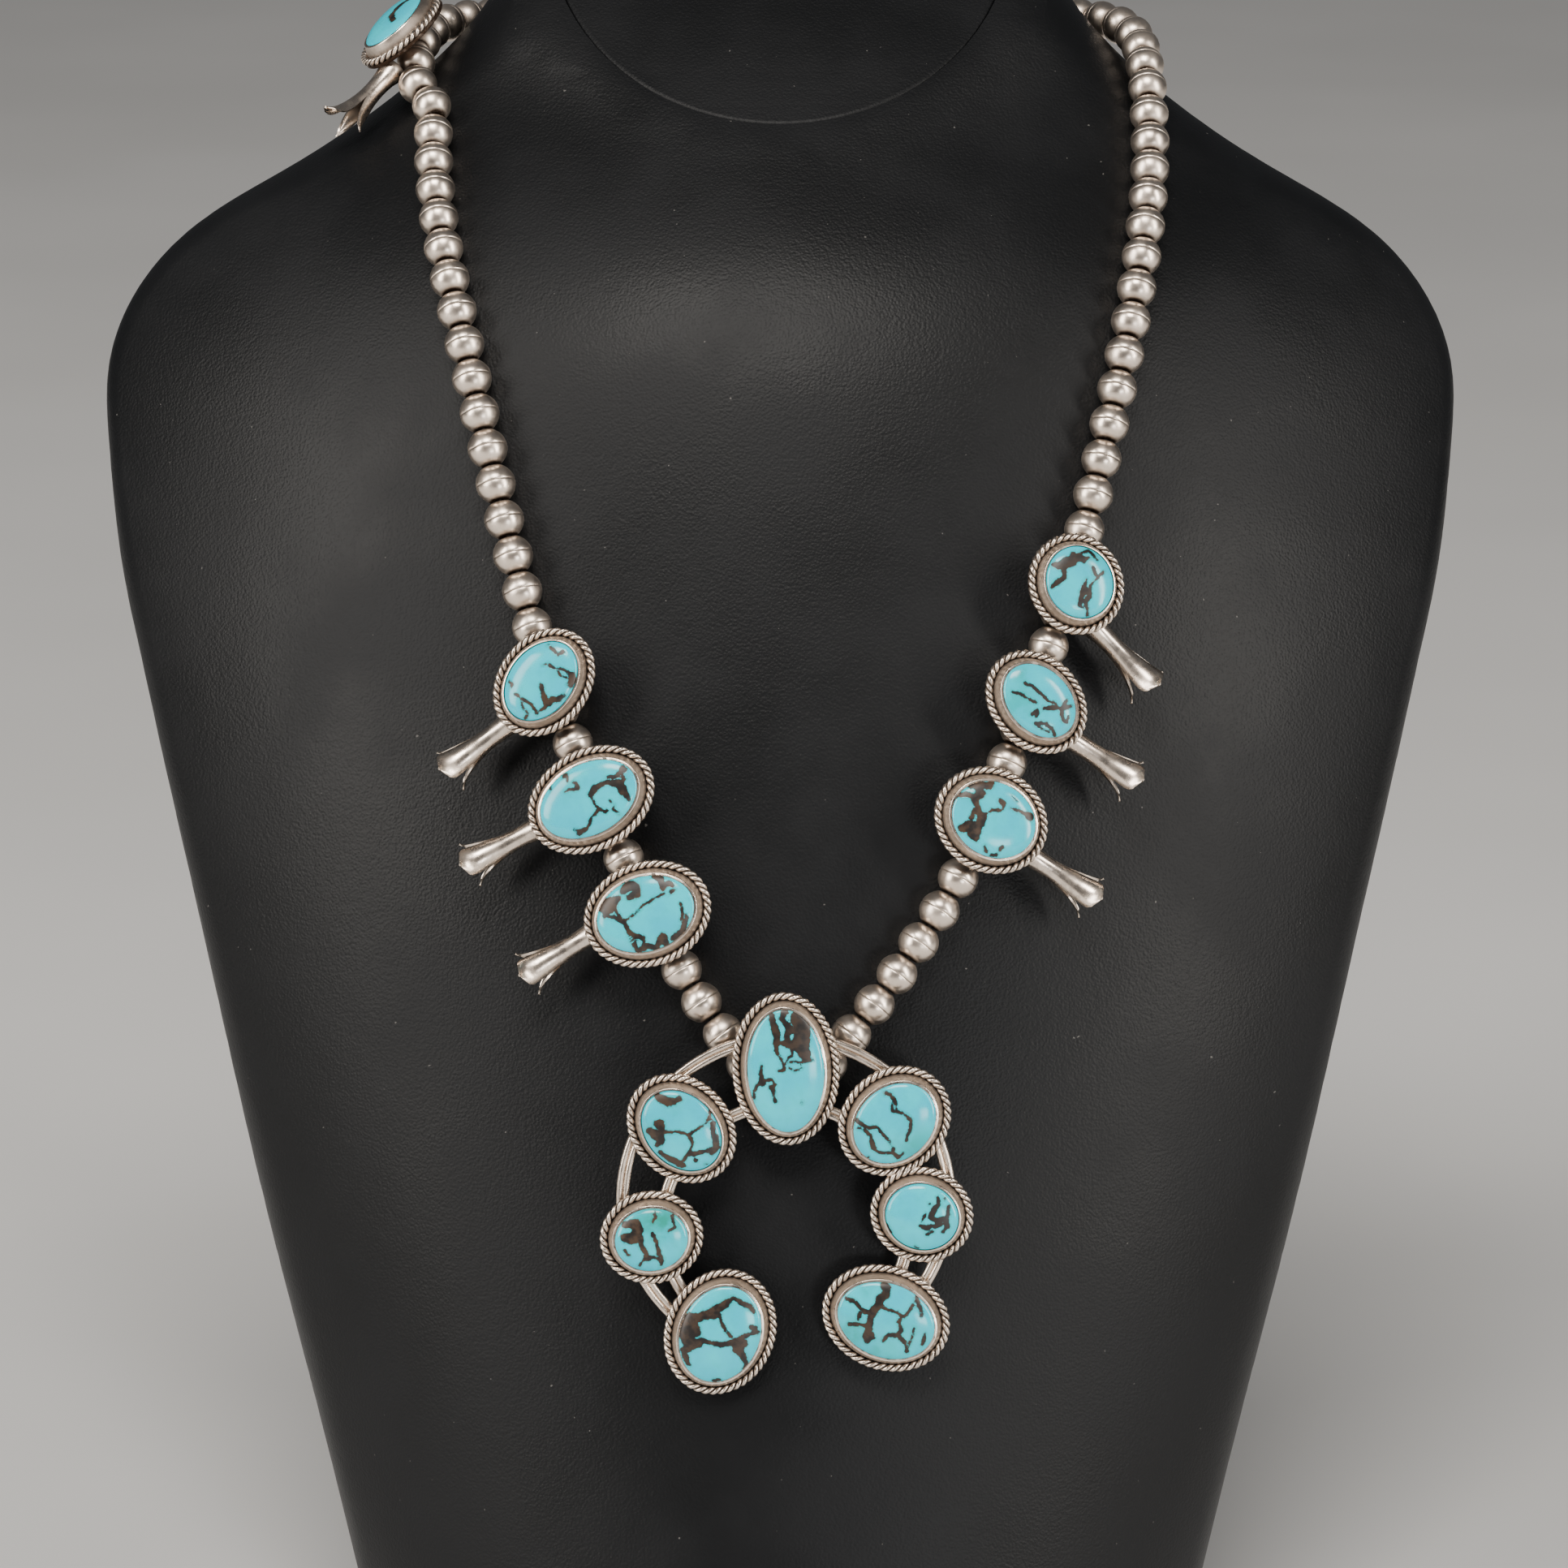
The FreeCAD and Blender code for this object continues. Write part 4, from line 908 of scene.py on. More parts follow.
@dataclass
class Setting:
    """One oval stone in its bezel, on a plate with a twisted rope rim."""

    key: str
    long: float
    short: float
    turn: float
    sizes: SettingSizes = SETTING

    def turned(self) -> Matrix:
        """The oval's turn in the setting's own frame."""
        return Matrix.Rotation(math.radians(self.turn), 4, "Z")

    def oval(self, extra: float, height: float) -> Matrix:
        """The matrix of an oval this far outside the stone's edge."""
        return level(self.long + extra, self.short + extra, height)

    def build_plate(self) -> bmesh.types.BMesh:
        """Make the back plate with a softened edge.

        Returns:
            The plate's mesh in millimetres.
        """
        s = self.sizes
        bm = bmesh.new()
        soft = 0.15
        loft(bm, [self.oval(s.plate_reach - soft, 0.0), self.oval(s.plate_reach, soft),
                  self.oval(s.plate_reach, s.plate - soft), self.oval(s.plate_reach - soft, s.plate)],
             s.plate_facets)
        # The whole plate is darkened: tarnish with painted shade, as it lies under the bezel and rope.
        set_mask(bm, "tarnish_shade_mask", {v: 0.95 for v in bm.verts})
        return bm

    def build_bezel(self) -> bmesh.types.BMesh:
        """Make the bezel: a sloping band with a thin rounded lip, slightly uneven from the hammer.

        Returns:
            The bezel's mesh in millimetres.
        """
        s = self.sizes
        top = s.plate + s.bezel_height
        bm = bmesh.new()
        # The third number of each ring darkens it with tarnish and painted shade: most at the foot on the
        # plate and inside the band, none at the lip.
        outside = [(s.bezel_foot + 0.12, s.plate - 0.05, 1.0), (s.bezel_foot + 0.02, s.plate + 0.35, .95),
                   (s.bezel_foot - 0.10, s.plate + 0.9, .78), (s.bezel_foot - 0.42, s.plate + 1.9, .5),
                   (s.bezel_lip + 0.10, top - 0.3, .3), (s.bezel_lip + 0.04, top - 0.05, 0.0),
                   (s.bezel_lip - 0.06, top, 0.0)]
        inside = [(s.bezel_lip - s.bezel_wall + 0.05, top, 0.0),
                  (s.bezel_lip - s.bezel_wall + 0.01, top - 0.12, .8),
                  (s.bezel_foot - s.bezel_wall, s.plate, 1.0)]
        rings = outside + inside
        loft(bm, [self.oval(extra, height) for extra, height, _ in rings], s.bezel_facets, closed=True)
        stains_and_shade = [stain_and_shade for _, _, stain_and_shade in rings]
        set_mask(bm, "tarnish_shade_mask", {vert: stains_and_shade[n // s.bezel_facets] for n, vert in enumerate(bm.verts)})
        return bm

    def build_rope(self) -> bmesh.types.BMesh:
        """Twist two round wires into the rope rim that runs round the plate.

        Returns:
            The rope's mesh in millimetres.
        """
        s = self.sizes
        a, b = self.long + s.rope_reach, self.short + s.rope_reach
        fine = np.linspace(0, 2 * math.pi, 721)
        steps = np.hypot(np.diff(a * np.cos(fine)), np.diff(b * np.sin(fine)))
        run = np.concatenate([[0], np.cumsum(steps)])
        twists = round(run[-1] / s.rope_pitch)
        count = twists * s.rope_steps
        at = np.interp(np.arange(count) * run[-1] / count, run, fine)
        middle = np.stack([a * np.cos(at), b * np.sin(at), np.full(count, s.plate + s.rope_lift)], 1)
        side = np.stack([b * np.cos(at), a * np.sin(at), np.zeros(count)], 1)
        side /= np.linalg.norm(side, axis=1)[:, None]
        bm = bmesh.new()
        for strand in range(2):
            angle = 2 * math.pi * twists * np.arange(count) / count + strand * math.pi
            offset = side * np.cos(angle)[:, None] + np.array([0, 0, 1]) * np.sin(angle)[:, None]
            self.add_strand(bm, middle, middle + offset * s.rope_radius * 0.5)
        return bm

    def add_strand(self, bm: bmesh.types.BMesh, middle: np.ndarray, points: np.ndarray) -> None:
        """Add one closed round wire through a row of points.

        Args:
            bm: The mesh that receives it.
            middle: The rope's middle beside each point.
            points: The wire's own middle.
        """
        curve = bpy.data.curves.new("strand", "CURVE")
        curve.dimensions = "3D"
        curve.bevel_depth = self.sizes.rope_radius * 0.54
        curve.bevel_resolution = 2
        spline = curve.splines.new("POLY")
        spline.points.add(len(points) - 1)
        spline.points.foreach_set("co", np.column_stack([points, np.ones(len(points))]).ravel())
        spline.use_cyclic_u = True
        holder = bpy.data.objects.new("strand", curve)
        data = bpy.data.meshes.new_from_object(holder)
        before = len(bm.verts)
        bm.from_mesh(data)
        bm.verts.ensure_lookup_table()
        fresh = bm.verts[before:]
        around = len(fresh) // len(points)
        # Darkened with tarnish and painted shade in the groove between the strands, and with painted shade on
        # the underside toward the plate.
        values = {}
        for number, vert in enumerate(fresh):
            gap = (vert.co - Vector(middle[number // around])).length
            foot = smooth_step(middle[0][2] - vert.co.z, -0.1, 0.5)
            values[vert] = max(1.0 - smooth_step(gap, 0.45, 0.80), 0.8 * foot)
        set_mask(bm, "tarnish_shade_mask", values)
        bpy.data.objects.remove(holder)
        bpy.data.curves.remove(curve)
        bpy.data.meshes.remove(data)

    def build_metal(self) -> bmesh.types.BMesh:
        """Put plate, bezel and rope together.

        Returns:
            The setting's mesh in millimetres, turned in its own frame.
        """
        bm = bmesh.new()
        for part in (self.build_plate(), self.build_bezel(), self.build_rope()):
            add_mesh(bm, part, self.turned())
        return bm

    def build_stone(self) -> bmesh.types.BMesh:
        """Make the low cabochon and write its charted host rock on its vertices.

        Returns:
            The stone's mesh in millimetres, turned in its own frame.
        """
        s = self.sizes
        lip = s.plate + s.bezel_height
        edge = s.bezel_lip - s.bezel_wall - s.stone_gap
        rings = [self.oval(s.bezel_foot - s.bezel_wall - 2 * s.stone_gap, s.foot_height),
                 self.oval(edge, lip - 0.1)]
        shares = np.concatenate([[0.997, 0.99, 0.975], np.linspace(0.95, 0.03, 23)])
        for share in shares:
            rise = s.dome_rise * (1 - share ** 2.6) ** 0.62
            rings.append(level((self.long + edge) * share, (self.short + edge) * share, lip - 0.1 + rise))
        bm = bmesh.new()
        loft(bm, rings, s.stone_facets)
        bm.transform(self.turned())
        chart = CHARTS[self.key]
        x = np.array([v.co.x for v in bm.verts])
        y = np.array([v.co.y for v in bm.verts])
        for name, numbers in (("vein", chart.depth(x, y)), ("green", chart.greenness(x, y)),
                              ("dark", np.full(x.shape, chart.dark))):
            set_mask(bm, name, dict(zip(bm.verts[:], map(float, numbers))))
        return bm


@dataclass
class Petal:
    """One petal of a trumpet: where it stands round the axis and how it narrows."""

    angle: float
    broad: bool


@dataclass
class Trumpet:
    """A hollow trumpet of three petals that curl outward, its axis along x from its foot."""

    length: float = 17.0
    split: float = 7.0
    stem: tuple[tuple[float, float], ...] = ((-0.2, 2.6), (0.0, 2.75), (1.2, 2.55), (2.8, 2.15), (4.6, 1.95),
                                             (6.0, 1.9), (7.0, 1.92))
    flare_x: tuple[float, ...] = (7.0, 8.5, 10.0, 11.5, 13.0, 14.4, 15.6, 16.5, 17.0)
    flare_r: tuple[float, ...] = (1.92, 2.0, 2.2, 2.5, 2.9, 3.4, 4.0, 4.7, 5.4)
    wall: float = 0.4
    petals: tuple[Petal, ...] = (Petal(90, True), Petal(205, False), Petal(-25, False))

    def width(self, share: float, broad: bool) -> float:
        """Half the angle that a petal spans at a share of its length.

        Args:
            share: 0 at the root, 1 at the tip.
            broad: Whether it is the broad front petal.

        Returns:
            The angle in degrees.
        """
        if broad:
            return 66 * (1 - 0.20 * share) * math.sqrt(max(1 - 0.96 * share ** 9, 0.0))
        return 58 * (1 - 0.96 * share ** 1.5)

    def build(self) -> bmesh.types.BMesh:
        """Make the stem and its petals.

        Returns:
            The trumpet's mesh in millimetres, its axis along x.
        """
        bm = bmesh.new()
        stand = Matrix.Rotation(math.radians(90), 4, "Y")
        stem = bmesh.new()
        loft(stem, [Matrix.Translation((x, 0, 0)) @ stand @ Matrix.Diagonal((r, r, 1, 1))
                    for x, r in self.stem], 36)
        # Darker near the foot where the stem meets the plate: tarnish with painted shade.
        set_mask(stem, "tarnish_shade_mask", {v: 0.75 * smooth_step(1.6 - v.co.x, 0.0, 1.6) for v in stem.verts})
        add_mesh(bm, stem, Matrix.Identity(4))
        for petal in self.petals:
            add_mesh(bm, self.build_petal(petal), Matrix.Identity(4))
        return bm

    def build_petal(self, petal: Petal) -> bmesh.types.BMesh:
        """Bend a flat grid into one petal and give it a wall.

        Args:
            petal: Its place and kind.

        Returns:
            The petal's mesh in millimetres.
        """
        bm = bmesh.new()
        bmesh.ops.create_grid(bm, x_segments=26, y_segments=14, size=1.0)
        reach = 1.0 if petal.broad else 0.97
        for vert in bm.verts:
            share, across = (vert.co.x + 1) / 2, vert.co.y
            x = self.split + (self.length - self.split) * share * reach
            r = float(np.interp(x, self.flare_x, self.flare_r))
            angle = math.radians(petal.angle + across * self.width(share, petal.broad))
            cup = 1 - 0.10 * across * across * smooth_step(share, 0.3, 1.0)
            vert.co = (x, r * cup * math.cos(angle), r * cup * math.sin(angle))
        bmesh.ops.recalc_face_normals(bm, faces=bm.faces[:])
        axis_side = sum(f.normal.dot(Vector((0, f.calc_center_median().y, f.calc_center_median().z)))
                        for f in bm.faces)
        if axis_side < 0:
            bmesh.ops.reverse_faces(bm, faces=bm.faces[:])
        outer = set(bm.verts)
        bmesh.ops.solidify(bm, geom=bm.faces[:], thickness=self.wall)
        # The hollow inside of the trumpet is darkened toward its root: painted shade with tarnish.
        stain_and_shade = {}
        for vert in bm.verts:
            radius = math.hypot(vert.co.y, vert.co.z)
            flare = float(np.interp(vert.co.x, self.flare_x, self.flare_r))
            hollow = vert not in outer or radius < flare - self.wall * 0.6
            stain_and_shade[vert] = 0.85 * (1 - smooth_step(vert.co.x, 9.0, 15.5)) if hollow else 0.0
        set_mask(bm, "tarnish_shade_mask", stain_and_shade)
        return bm


@dataclass
class Blossom:
    """A setting with its trumpet, hung on the thread by a shank ring."""

    key: str
    setting: Setting
    trumpet_x: float
    trumpet_y: float
    trumpet_turn: float
    plate_height: float = 4.35
    drop: float = 2.3
    tuck: float = 2.6
    ring: tuple[float, float] = (1.6, 0.6)

    def build(self, finishes: "Finishes", strand: "Strand") -> None:
        """Make the blossom and its stone.

        Args:
            finishes: The materials.
            strand: The beads, for the thread's direction.
        """
        home = seat_frame("blossom_stone_" + self.key, SETTING.foot_height)
        bm = self.setting.build_metal()
        way = Matrix.Rotation(math.radians(self.trumpet_turn), 4, "Z")
        foot = Matrix.Translation((self.trumpet_x, self.trumpet_y, -self.drop))
        add_mesh(bm, Trumpet().build(), foot @ way @ Matrix.Translation((-self.tuck, 0, 0)))
        add_mesh(bm, self.build_shank(home, strand), Matrix.Identity(4))
        bm.transform(home)
        make_piece("flower_" + self.key, bm, finishes.silver, ("blossom_" + self.key,))
        stone = self.setting.build_stone()
        stone.transform(home)
        make_piece("cabochon_" + self.key, stone, finishes.stone, ("blossom_stone_" + self.key,))

    def build_shank(self, home: Matrix, strand: "Strand") -> bmesh.types.BMesh:
        """Make the ring that the thread runs through, and its post.

        Args:
            home: The setting's frame.
            strand: The beads, for the thread's direction.

        Returns:
            The shank's mesh in millimetres.
        """
        middle = home @ Vector((0, 0, -self.plate_height))
        tangent = (home.to_3x3().inverted() @ strand.direction(middle)).normalized()
        turn = tangent.to_track_quat("Z", "Y").to_matrix().to_4x4()
        bm = bmesh.new()
        radius, wire = self.ring
        rings = []
        for step in range(24):
            spin = Matrix.Rotation(math.tau * step / 24, 4, "Z")
            rings.append(Matrix.Translation((0, 0, -self.plate_height)) @ turn @ spin
                         @ Matrix.Translation((radius, 0, 0)) @ Matrix.Rotation(math.radians(90), 4, "X")
                         @ Matrix.Diagonal((wire, wire, 1, 1)))
        loft(bm, rings, 10, closed=True)
        loft(bm, [level(wire, wire, radius - self.plate_height), level(wire, wire, 0.3)], 16)
        # The whole shank is darkened: tarnish with painted shade under the plate.
        set_mask(bm, "tarnish_shade_mask", {v: 0.6 for v in bm.verts})
        return bm


# The beads


@dataclass
class Strand:
    """The two strings of round beads."""

    radius: float = 3.8
    half_length: float = 3.35
    bore: float = 0.8
    steps: int = 24
    centres: list[tuple[Vector, Vector]] = field(default_factory=list)

    def read(self) -> dict[str, list[tuple[Vector, Vector]]]:
        """Find each bead's middle and axis on its CAD string.

        Returns:
            The middles and axes of each string's beads, in metres.
        """
        strings = {}
        for node in ("bead_string_left", "bead_string_right"):
            bm = merged_copy(node)
            rows = []
            for shape in loose_shapes(bm):
                end, out = flat_face(bm, shape)
                rows.append((end - out * self.half_length * MM, out))
            bm.free()
            strings[node] = rows
            self.centres += rows
        return strings

    def direction(self, point: Vector) -> Vector:
        """The thread's direction near a point: that of the nearest bead's axis."""
        return min(self.centres, key=lambda row: (row[0] - point).length)[1]

    def bead_form(self) -> bpy.types.Mesh:
        """Spin one drilled bead with a fine seam round its middle.

        Returns:
            The bead's mesh in millimetres, its hole along z.
        """
        bm = bmesh.new()
        profile = [(self.bore, -3.1), (self.bore + 0.12, -3.32)]
        for angle in (-62, -52, -41, -29, -16, -4.5):
            profile.append((self.radius * math.cos(math.radians(angle)),
                            self.radius * math.sin(math.radians(angle))))
        profile += [(self.radius - 0.05, -0.1), (self.radius - 0.13, 0.0), (self.radius - 0.05, 0.1)]
        profile += [(r, -z) for r, z in reversed(profile[:8])]
        verts = [bm.verts.new((r, 0, z)) for r, z in profile]
        edges = [bm.edges.new(pair) for pair in zip(verts, verts[1:] + verts[:1])]
        bmesh.ops.spin(bm, geom=verts + edges, cent=(0, 0, 0), axis=(0, 0, 1), angle=math.tau,
                       steps=self.steps, use_merge=True)
        bmesh.ops.remove_doubles(bm, verts=bm.verts[:], dist=0.001)
        bmesh.ops.recalc_face_normals(bm, faces=bm.faces[:])
        # Darker near the holes, where beads meet: tarnish with painted shade. The bore is fully dark with
        # painted shade. The seam is a dark joint.
        values = {}
        for vert in bm.verts:
            along, across = abs(vert.co.z), math.hypot(vert.co.x, vert.co.y)
            end = smooth_step(along, 2.7, 3.35)
            seam = 0.65 if across < self.radius - 0.1 and along < 0.05 else 0.0
            values[vert] = max(end, seam, 1.0 if across < self.bore + 0.2 else 0.0)
        set_mask(bm, "tarnish_shade_mask", values)
        data = bpy.data.meshes.new("bead_form")
        bm.to_mesh(data)
        bm.free()
        return data

    def build(self, finishes: "Finishes") -> None:
        """Make both strings.

        Args:
            finishes: The materials.
        """
        form = self.bead_form()
        for node, rows in self.read().items():
            bm = bmesh.new()
            for number, (middle, axis) in enumerate(rows):
                before = len(bm.verts)
                bm.from_mesh(form)
                bm.verts.ensure_lookup_table()
                turn = axis.to_track_quat("Z", "Y").to_matrix().to_4x4()
                spin = Matrix.Rotation(number * 2.4, 4, "Z")
                place = Matrix.Translation(middle) @ turn @ spin @ Matrix.Scale(MM, 4)
                bmesh.ops.transform(bm, matrix=place, verts=bm.verts[before:])
            name = "silver_beads_" + node.rsplit("_", 1)[1]
            make_piece(name, bm, finishes.bead_silver, (node,), recalculate=False)
        bpy.data.meshes.remove(form)


# The naja


@dataclass
class Naja:
    """The crescent pendant: paired wires, seven settings and the bail behind the topmost."""

    places: dict[str, tuple[float, float]] = field(default_factory=lambda: {
        "top": (0.0, 24.8), "left_upper": (-19.3, 13.6), "right_upper": (20.1, 15.0),
        "left_middle": (-24.9, -6.9), "right_middle": (25.2, -2.6),
        "left_lower": (-12.2, -24.8), "right_lower": (18.6, -22.2)})
    ovals: dict[str, tuple[float, float, float]] = field(default_factory=lambda: {
        "top": (11.6, 7.2, 93), "left_upper": (8.4, 6.5, 133), "right_upper": (8.4, 6.9, 43),
        "left_middle": (6.9, 6.0, 10), "right_middle": (6.9, 6.2, 161),
        "left_lower": (9.4, 7.5, 68), "right_lower": (9.4, 7.1, 159)})
    outer: float = 30.3
    inner: float = 22.9
    inner_drop: float = 5.1
    wire: float = 0.64
    spacing: float = 1.2
    seat: float = 0.4
    bail_width: float = 5.0
    bail_hole: float = 1.7
    bail_wall: float = 0.8
    bail_drop: float = 3.35
    bail_y: float = 18.8

    def home(self) -> Matrix:
        """The naja's own frame, its origin in the middle of the outer arc."""
        x, y = self.places["top"]
        frame_of_top = seat_frame("naja_stone_top", SETTING.foot_height)
        return frame_of_top @ Matrix.Translation((-x, -y, -self.seat))

    def add_arc(self, bm: bmesh.types.BMesh, radius: float, middle_y: float) -> None:
        """Spin one round wire from the right lower setting over the top to the left lower one.

        Args:
            bm: The mesh that receives it.
            radius: The arc's radius.
            middle_y: The height of the arc's middle.
        """
        ends = []
        for place in ("right_lower", "left_lower"):
            x, y = self.places[place]
            ends.append(math.atan2(y - middle_y, x))
        start, stop = ends[0], ends[1] + math.tau
        arc = bmesh.new()
        round_wire = Matrix.Translation((radius, 0, 0)) @ Matrix.Rotation(math.radians(90), 4, "X")
        edges = circle(arc, round_wire @ Matrix.Diagonal((self.wire, self.wire, 1, 1)), 14)
        verts = list({v for e in edges for v in e.verts})
        bmesh.ops.spin(arc, geom=verts + edges, cent=(0, 0, 0), axis=(0, 0, 1), angle=stop - start, steps=80)
        bmesh.ops.holes_fill(arc, edges=[e for e in arc.edges if e.is_boundary], sides=20)
        # The underside of each wire, toward the chest, is darkened with painted shade.
        set_mask(arc, "tarnish_shade_mask", {v: 0.55 * smooth_step(-v.co.z, -0.1, 0.5) for v in arc.verts})
        add_mesh(bm, arc, Matrix.Translation((0, middle_y, 0)) @ Matrix.Rotation(start, 4, "Z"))

    def add_bail(self, bm: bmesh.types.BMesh) -> None:
        """Add the strap that the thread runs through, behind the top setting.

        Args:
            bm: The mesh that receives it.
        """
        tube = bmesh.new()
        side = Matrix.Rotation(math.radians(90), 4, "Y")
        half = self.bail_width / 2
        outside, inside = self.bail_hole + self.bail_wall, self.bail_hole
        shape = [(-half, inside), (-half, outside - 0.15), (-half + 0.15, outside), (half - 0.15, outside),
                 (half, outside - 0.15), (half, inside)]
        middle = Matrix.Translation((0, self.bail_y, -self.bail_drop))
        loft(tube, [middle @ Matrix.Translation((x, 0, 0)) @ side @ Matrix.Diagonal((r, r, 1, 1))
                    for x, r in shape], 32, closed=True)
        height = self.bail_drop - self.bail_hole + self.seat
        block = bmesh.ops.create_cube(tube, size=1.0)
        place = Matrix.Translation((0, self.bail_y, self.seat - height / 2))
        bmesh.ops.transform(tube, verts=block["verts"],
                            matrix=place @ Matrix.Diagonal((self.bail_width, 2 * self.bail_wall, height, 1)))
        # The whole bail is darkened: tarnish with painted shade behind the top setting.
        set_mask(tube, "tarnish_shade_mask", {v: 0.7 for v in tube.verts})
        add_mesh(bm, tube, Matrix.Identity(4))

    def build(self, finishes: "Finishes") -> None:
        """Make the crescent and its stones.

        Args:
            finishes: The materials.
        """
        home = self.home()
        bm = bmesh.new()
        for radius, middle_y in ((self.outer, 0.0), (self.inner, -self.inner_drop)):
            for sign in (-1, 1):
                self.add_arc(bm, radius + sign * self.spacing / 2, middle_y)
        for place, (x, y) in self.places.items():
            setting = Setting("naja_" + place, *self.ovals[place])
            add_mesh(bm, setting.build_metal(), Matrix.Translation((x, y, self.seat)))
            stone = setting.build_stone()
            stone.transform(home @ Matrix.Translation((x, y, self.seat)))
            make_piece("cabochon_naja_" + place, stone, finishes.stone, ("naja_stone_" + place,))
        self.add_bail(bm)
        bm.transform(home)
        make_piece("naja_crescent", bm, finishes.silver, ("naja_frame",))


# The bust and what stays of the CAD


@dataclass
class Bust:
    """The leaning display bust with the disc let into its neck."""

    crease: float = 35.0

    def build(self, finishes: "Finishes") -> None:
        """Cover the bust and the neck disc.

        Args:
            finishes: The materials.
        """
        for node, name in (("bust", "bust_cover"), ("neck_cap", "neck_disc")):
            bm = merged_copy(node)
            make_piece(name, bm, finishes.leatherette, (node,), recalculate=False,
                       crease=self.crease)


@dataclass
class Finishes:
    """All the materials of the object."""

    silver: bpy.types.Material
    bead_silver: bpy.types.Material
    stone: bpy.types.Material
    leatherette: bpy.types.Material
    thread: bpy.types.Material

    @classmethod
    def make(cls) -> "Finishes":
        """Build every material once.

        Returns:
            The materials.
        """
        effects = Effects()
        return cls(
            silver=SilverFinish("old_silver").build(effects),
            bead_silver=SilverFinish("bead_silver", open_film=0.08, polish=0.28,
                                     grain_depth=0.015).build(effects),
            stone=StoneFinish().build(effects),
            leatherette=LeatheretteFinish().build(effects),
            thread=ThreadFinish().build(effects))

    def dress(self, node: str, finish: bpy.types.Material) -> None:
        """Give a CAD node that stays its material."""
        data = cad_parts[node].data
        data.materials.clear()
        data.materials.append(finish)


# The studio


class Glow(Enum):
    """The tint of a light."""

    NEUTRAL = (1.0, 1.0, 1.0)
    WARM = (1.0, 0.95, 0.89)


@dataclass(frozen=True)
class Softbox:
    """A soft rectangular light aimed at the chest."""

    name: str
    place: tuple[float, float, float]
    width: float
    height: float
    power: float
    glow: Glow = Glow.NEUTRAL

    def build(self, target: Vector) -> None:
        """Place the light.

        Args:
            target: What it is aimed at.
        """
        lamp = bpy.data.lights.new(self.name, "AREA")
        lamp.shape = "RECTANGLE"
        lamp.size, lamp.size_y = self.width, self.height
        lamp.energy = self.power
        lamp.color = self.glow.value
        holder = bpy.data.objects.new(self.name, lamp)
        holder.location = self.place
        holder.rotation_mode = "QUATERNION"
        holder.rotation_quaternion = (target - Vector(self.place)).to_track_quat("-Z", "Y")
        bpy.context.scene.collection.objects.link(holder)


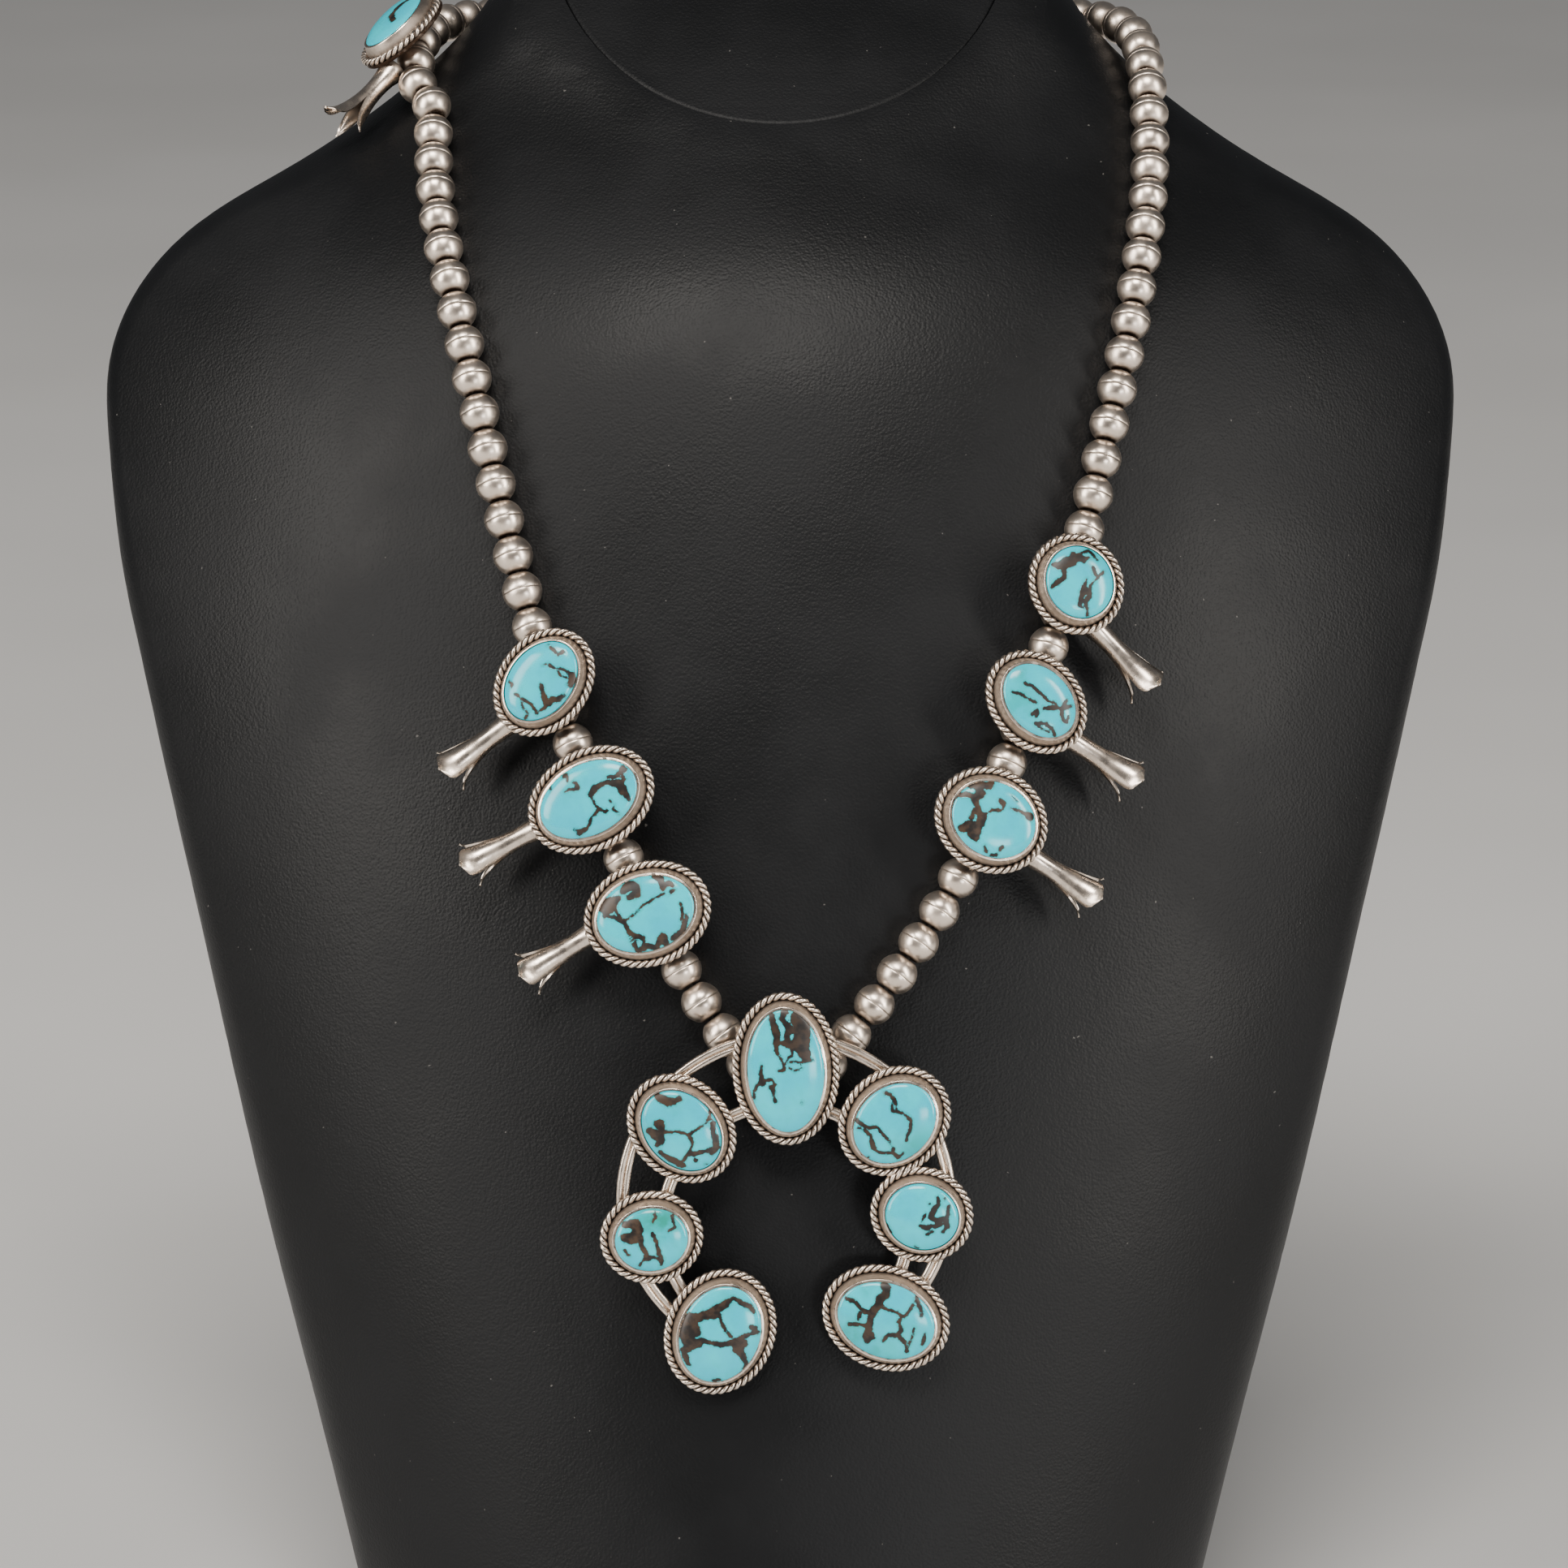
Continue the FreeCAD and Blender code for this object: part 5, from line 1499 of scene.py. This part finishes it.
@dataclass
class Studio:
    """A pale floor, soft lights and the camera square to the leaning chest."""

    chest: tuple[float, float, float] = (0.0, -59.8, 190.0)
    lean: float = 18.0
    distance: float = 1101.0
    aside: float = 0.75
    lens: float = 136.02
    boxes: tuple[Softbox, ...] = (
        Softbox("window_left", (-1.5, -1.0, 1.0), 0.6, 1.6, 34.0, Glow.WARM),
        Softbox("overhead", (-0.15, -1.1, 2.0), 0.9, 0.6, 34.0, Glow.WARM),
        Softbox("strip_right", (1.4, -0.9, 0.75), 0.25, 1.4, 22.0, Glow.WARM),
        Softbox("fill_low", (0.9, -1.9, 0.25), 0.5, 0.3, 6.0, Glow.NEUTRAL))

    def build(self) -> None:
        """Make the floor, the lights, the surroundings and the camera."""
        target = Vector(self.chest) * MM
        for box in self.boxes:
            box.build(target)
        self.build_floor()
        self.build_world()
        self.build_camera(target)

    def build_floor(self) -> None:
        """Lay the pale floor."""
        bm = bmesh.new()
        bmesh.ops.create_grid(bm, x_segments=2, y_segments=2, size=6.0)
        data = bpy.data.meshes.new("floor")
        bm.to_mesh(data)
        bm.free()
        material, g, surface = new_material("pale_floor")
        shade = g.remap(g.noise(g.place(), 3.0), 0.3, 0.7, 0.0, 1.0)
        g.feed(surface.inputs["Base Color"], g.mix(shade, (0.66, 0.66, 0.655, 1), (0.72, 0.72, 0.715, 1)))
        surface.inputs["Roughness"].default_value = 0.75
        data.materials.append(material)
        floor = bpy.data.objects.new("floor", data)
        bpy.context.scene.collection.objects.link(floor)

    def build_world(self) -> None:
        """Surround the scene with a dim even light."""
        world = bpy.data.worlds.new("studio")
        world.use_nodes = True
        back = world.node_tree.nodes["Background"]
        back.inputs["Color"].default_value = (0.85, 0.88, 0.92, 1)
        back.inputs["Strength"].default_value = 0.10
        bpy.context.scene.world = world

    def build_camera(self, target: Vector) -> None:
        """Stand the camera square to the chest plane.

        Args:
            target: The chest plane's own origin.
        """
        lean = math.radians(self.lean)
        out = Vector((0, -math.cos(lean), math.sin(lean)))
        data = bpy.data.cameras.new("camera")
        data.sensor_width = 36.0
        data.lens = self.lens
        data.clip_start, data.clip_end = 0.05, 50.0
        camera = bpy.data.objects.new("camera", data)
        camera.location = target + out * self.distance * MM + Vector((self.aside * MM, 0, 0))
        camera.rotation_euler = (math.radians(90 - self.lean), 0, 0)
        bpy.context.scene.collection.objects.link(camera)
        bpy.context.scene.camera = camera


BLOSSOMS = (
    Blossom("left_1", Setting("left_1", 8.2, 6.1, 50), -7.9, -7.4, 216),
    Blossom("left_2", Setting("left_2", 9.8, 6.7, 27), -11.6, -5.4, 207),
    Blossom("left_3", Setting("left_3", 9.4, 7.0, 18), -11.3, -3.9, 211),
    Blossom("left_4", Setting("left_4", 8.0, 6.2, 60), -6.0, -9.0, 226),
    Blossom("right_1", Setting("right_1", 6.9, 6.5, 115), 5.5, -8.3, -45),
    Blossom("right_2", Setting("right_2", 7.9, 6.0, 136), 7.9, -6.6, -32),
    Blossom("right_3", Setting("right_3", 8.3, 7.0, 153), 8.6, -6.6, -33),
)


def main() -> None:
    """Build every piece in order and report it."""
    logging.basicConfig(level=logging.INFO, format="%(name)s: %(message)s")
    finishes = Finishes.make()
    Bust().build(finishes)
    strand = Strand()
    strand.build(finishes)
    for blossom in BLOSSOMS:
        blossom.build(finishes, strand)
    Naja().build(finishes)
    finishes.dress("thread", finishes.thread)
    finishes.dress("clasp", finishes.silver)
    Studio().build()
    LOG.info("done")


if __name__ == "__main__":
    main()
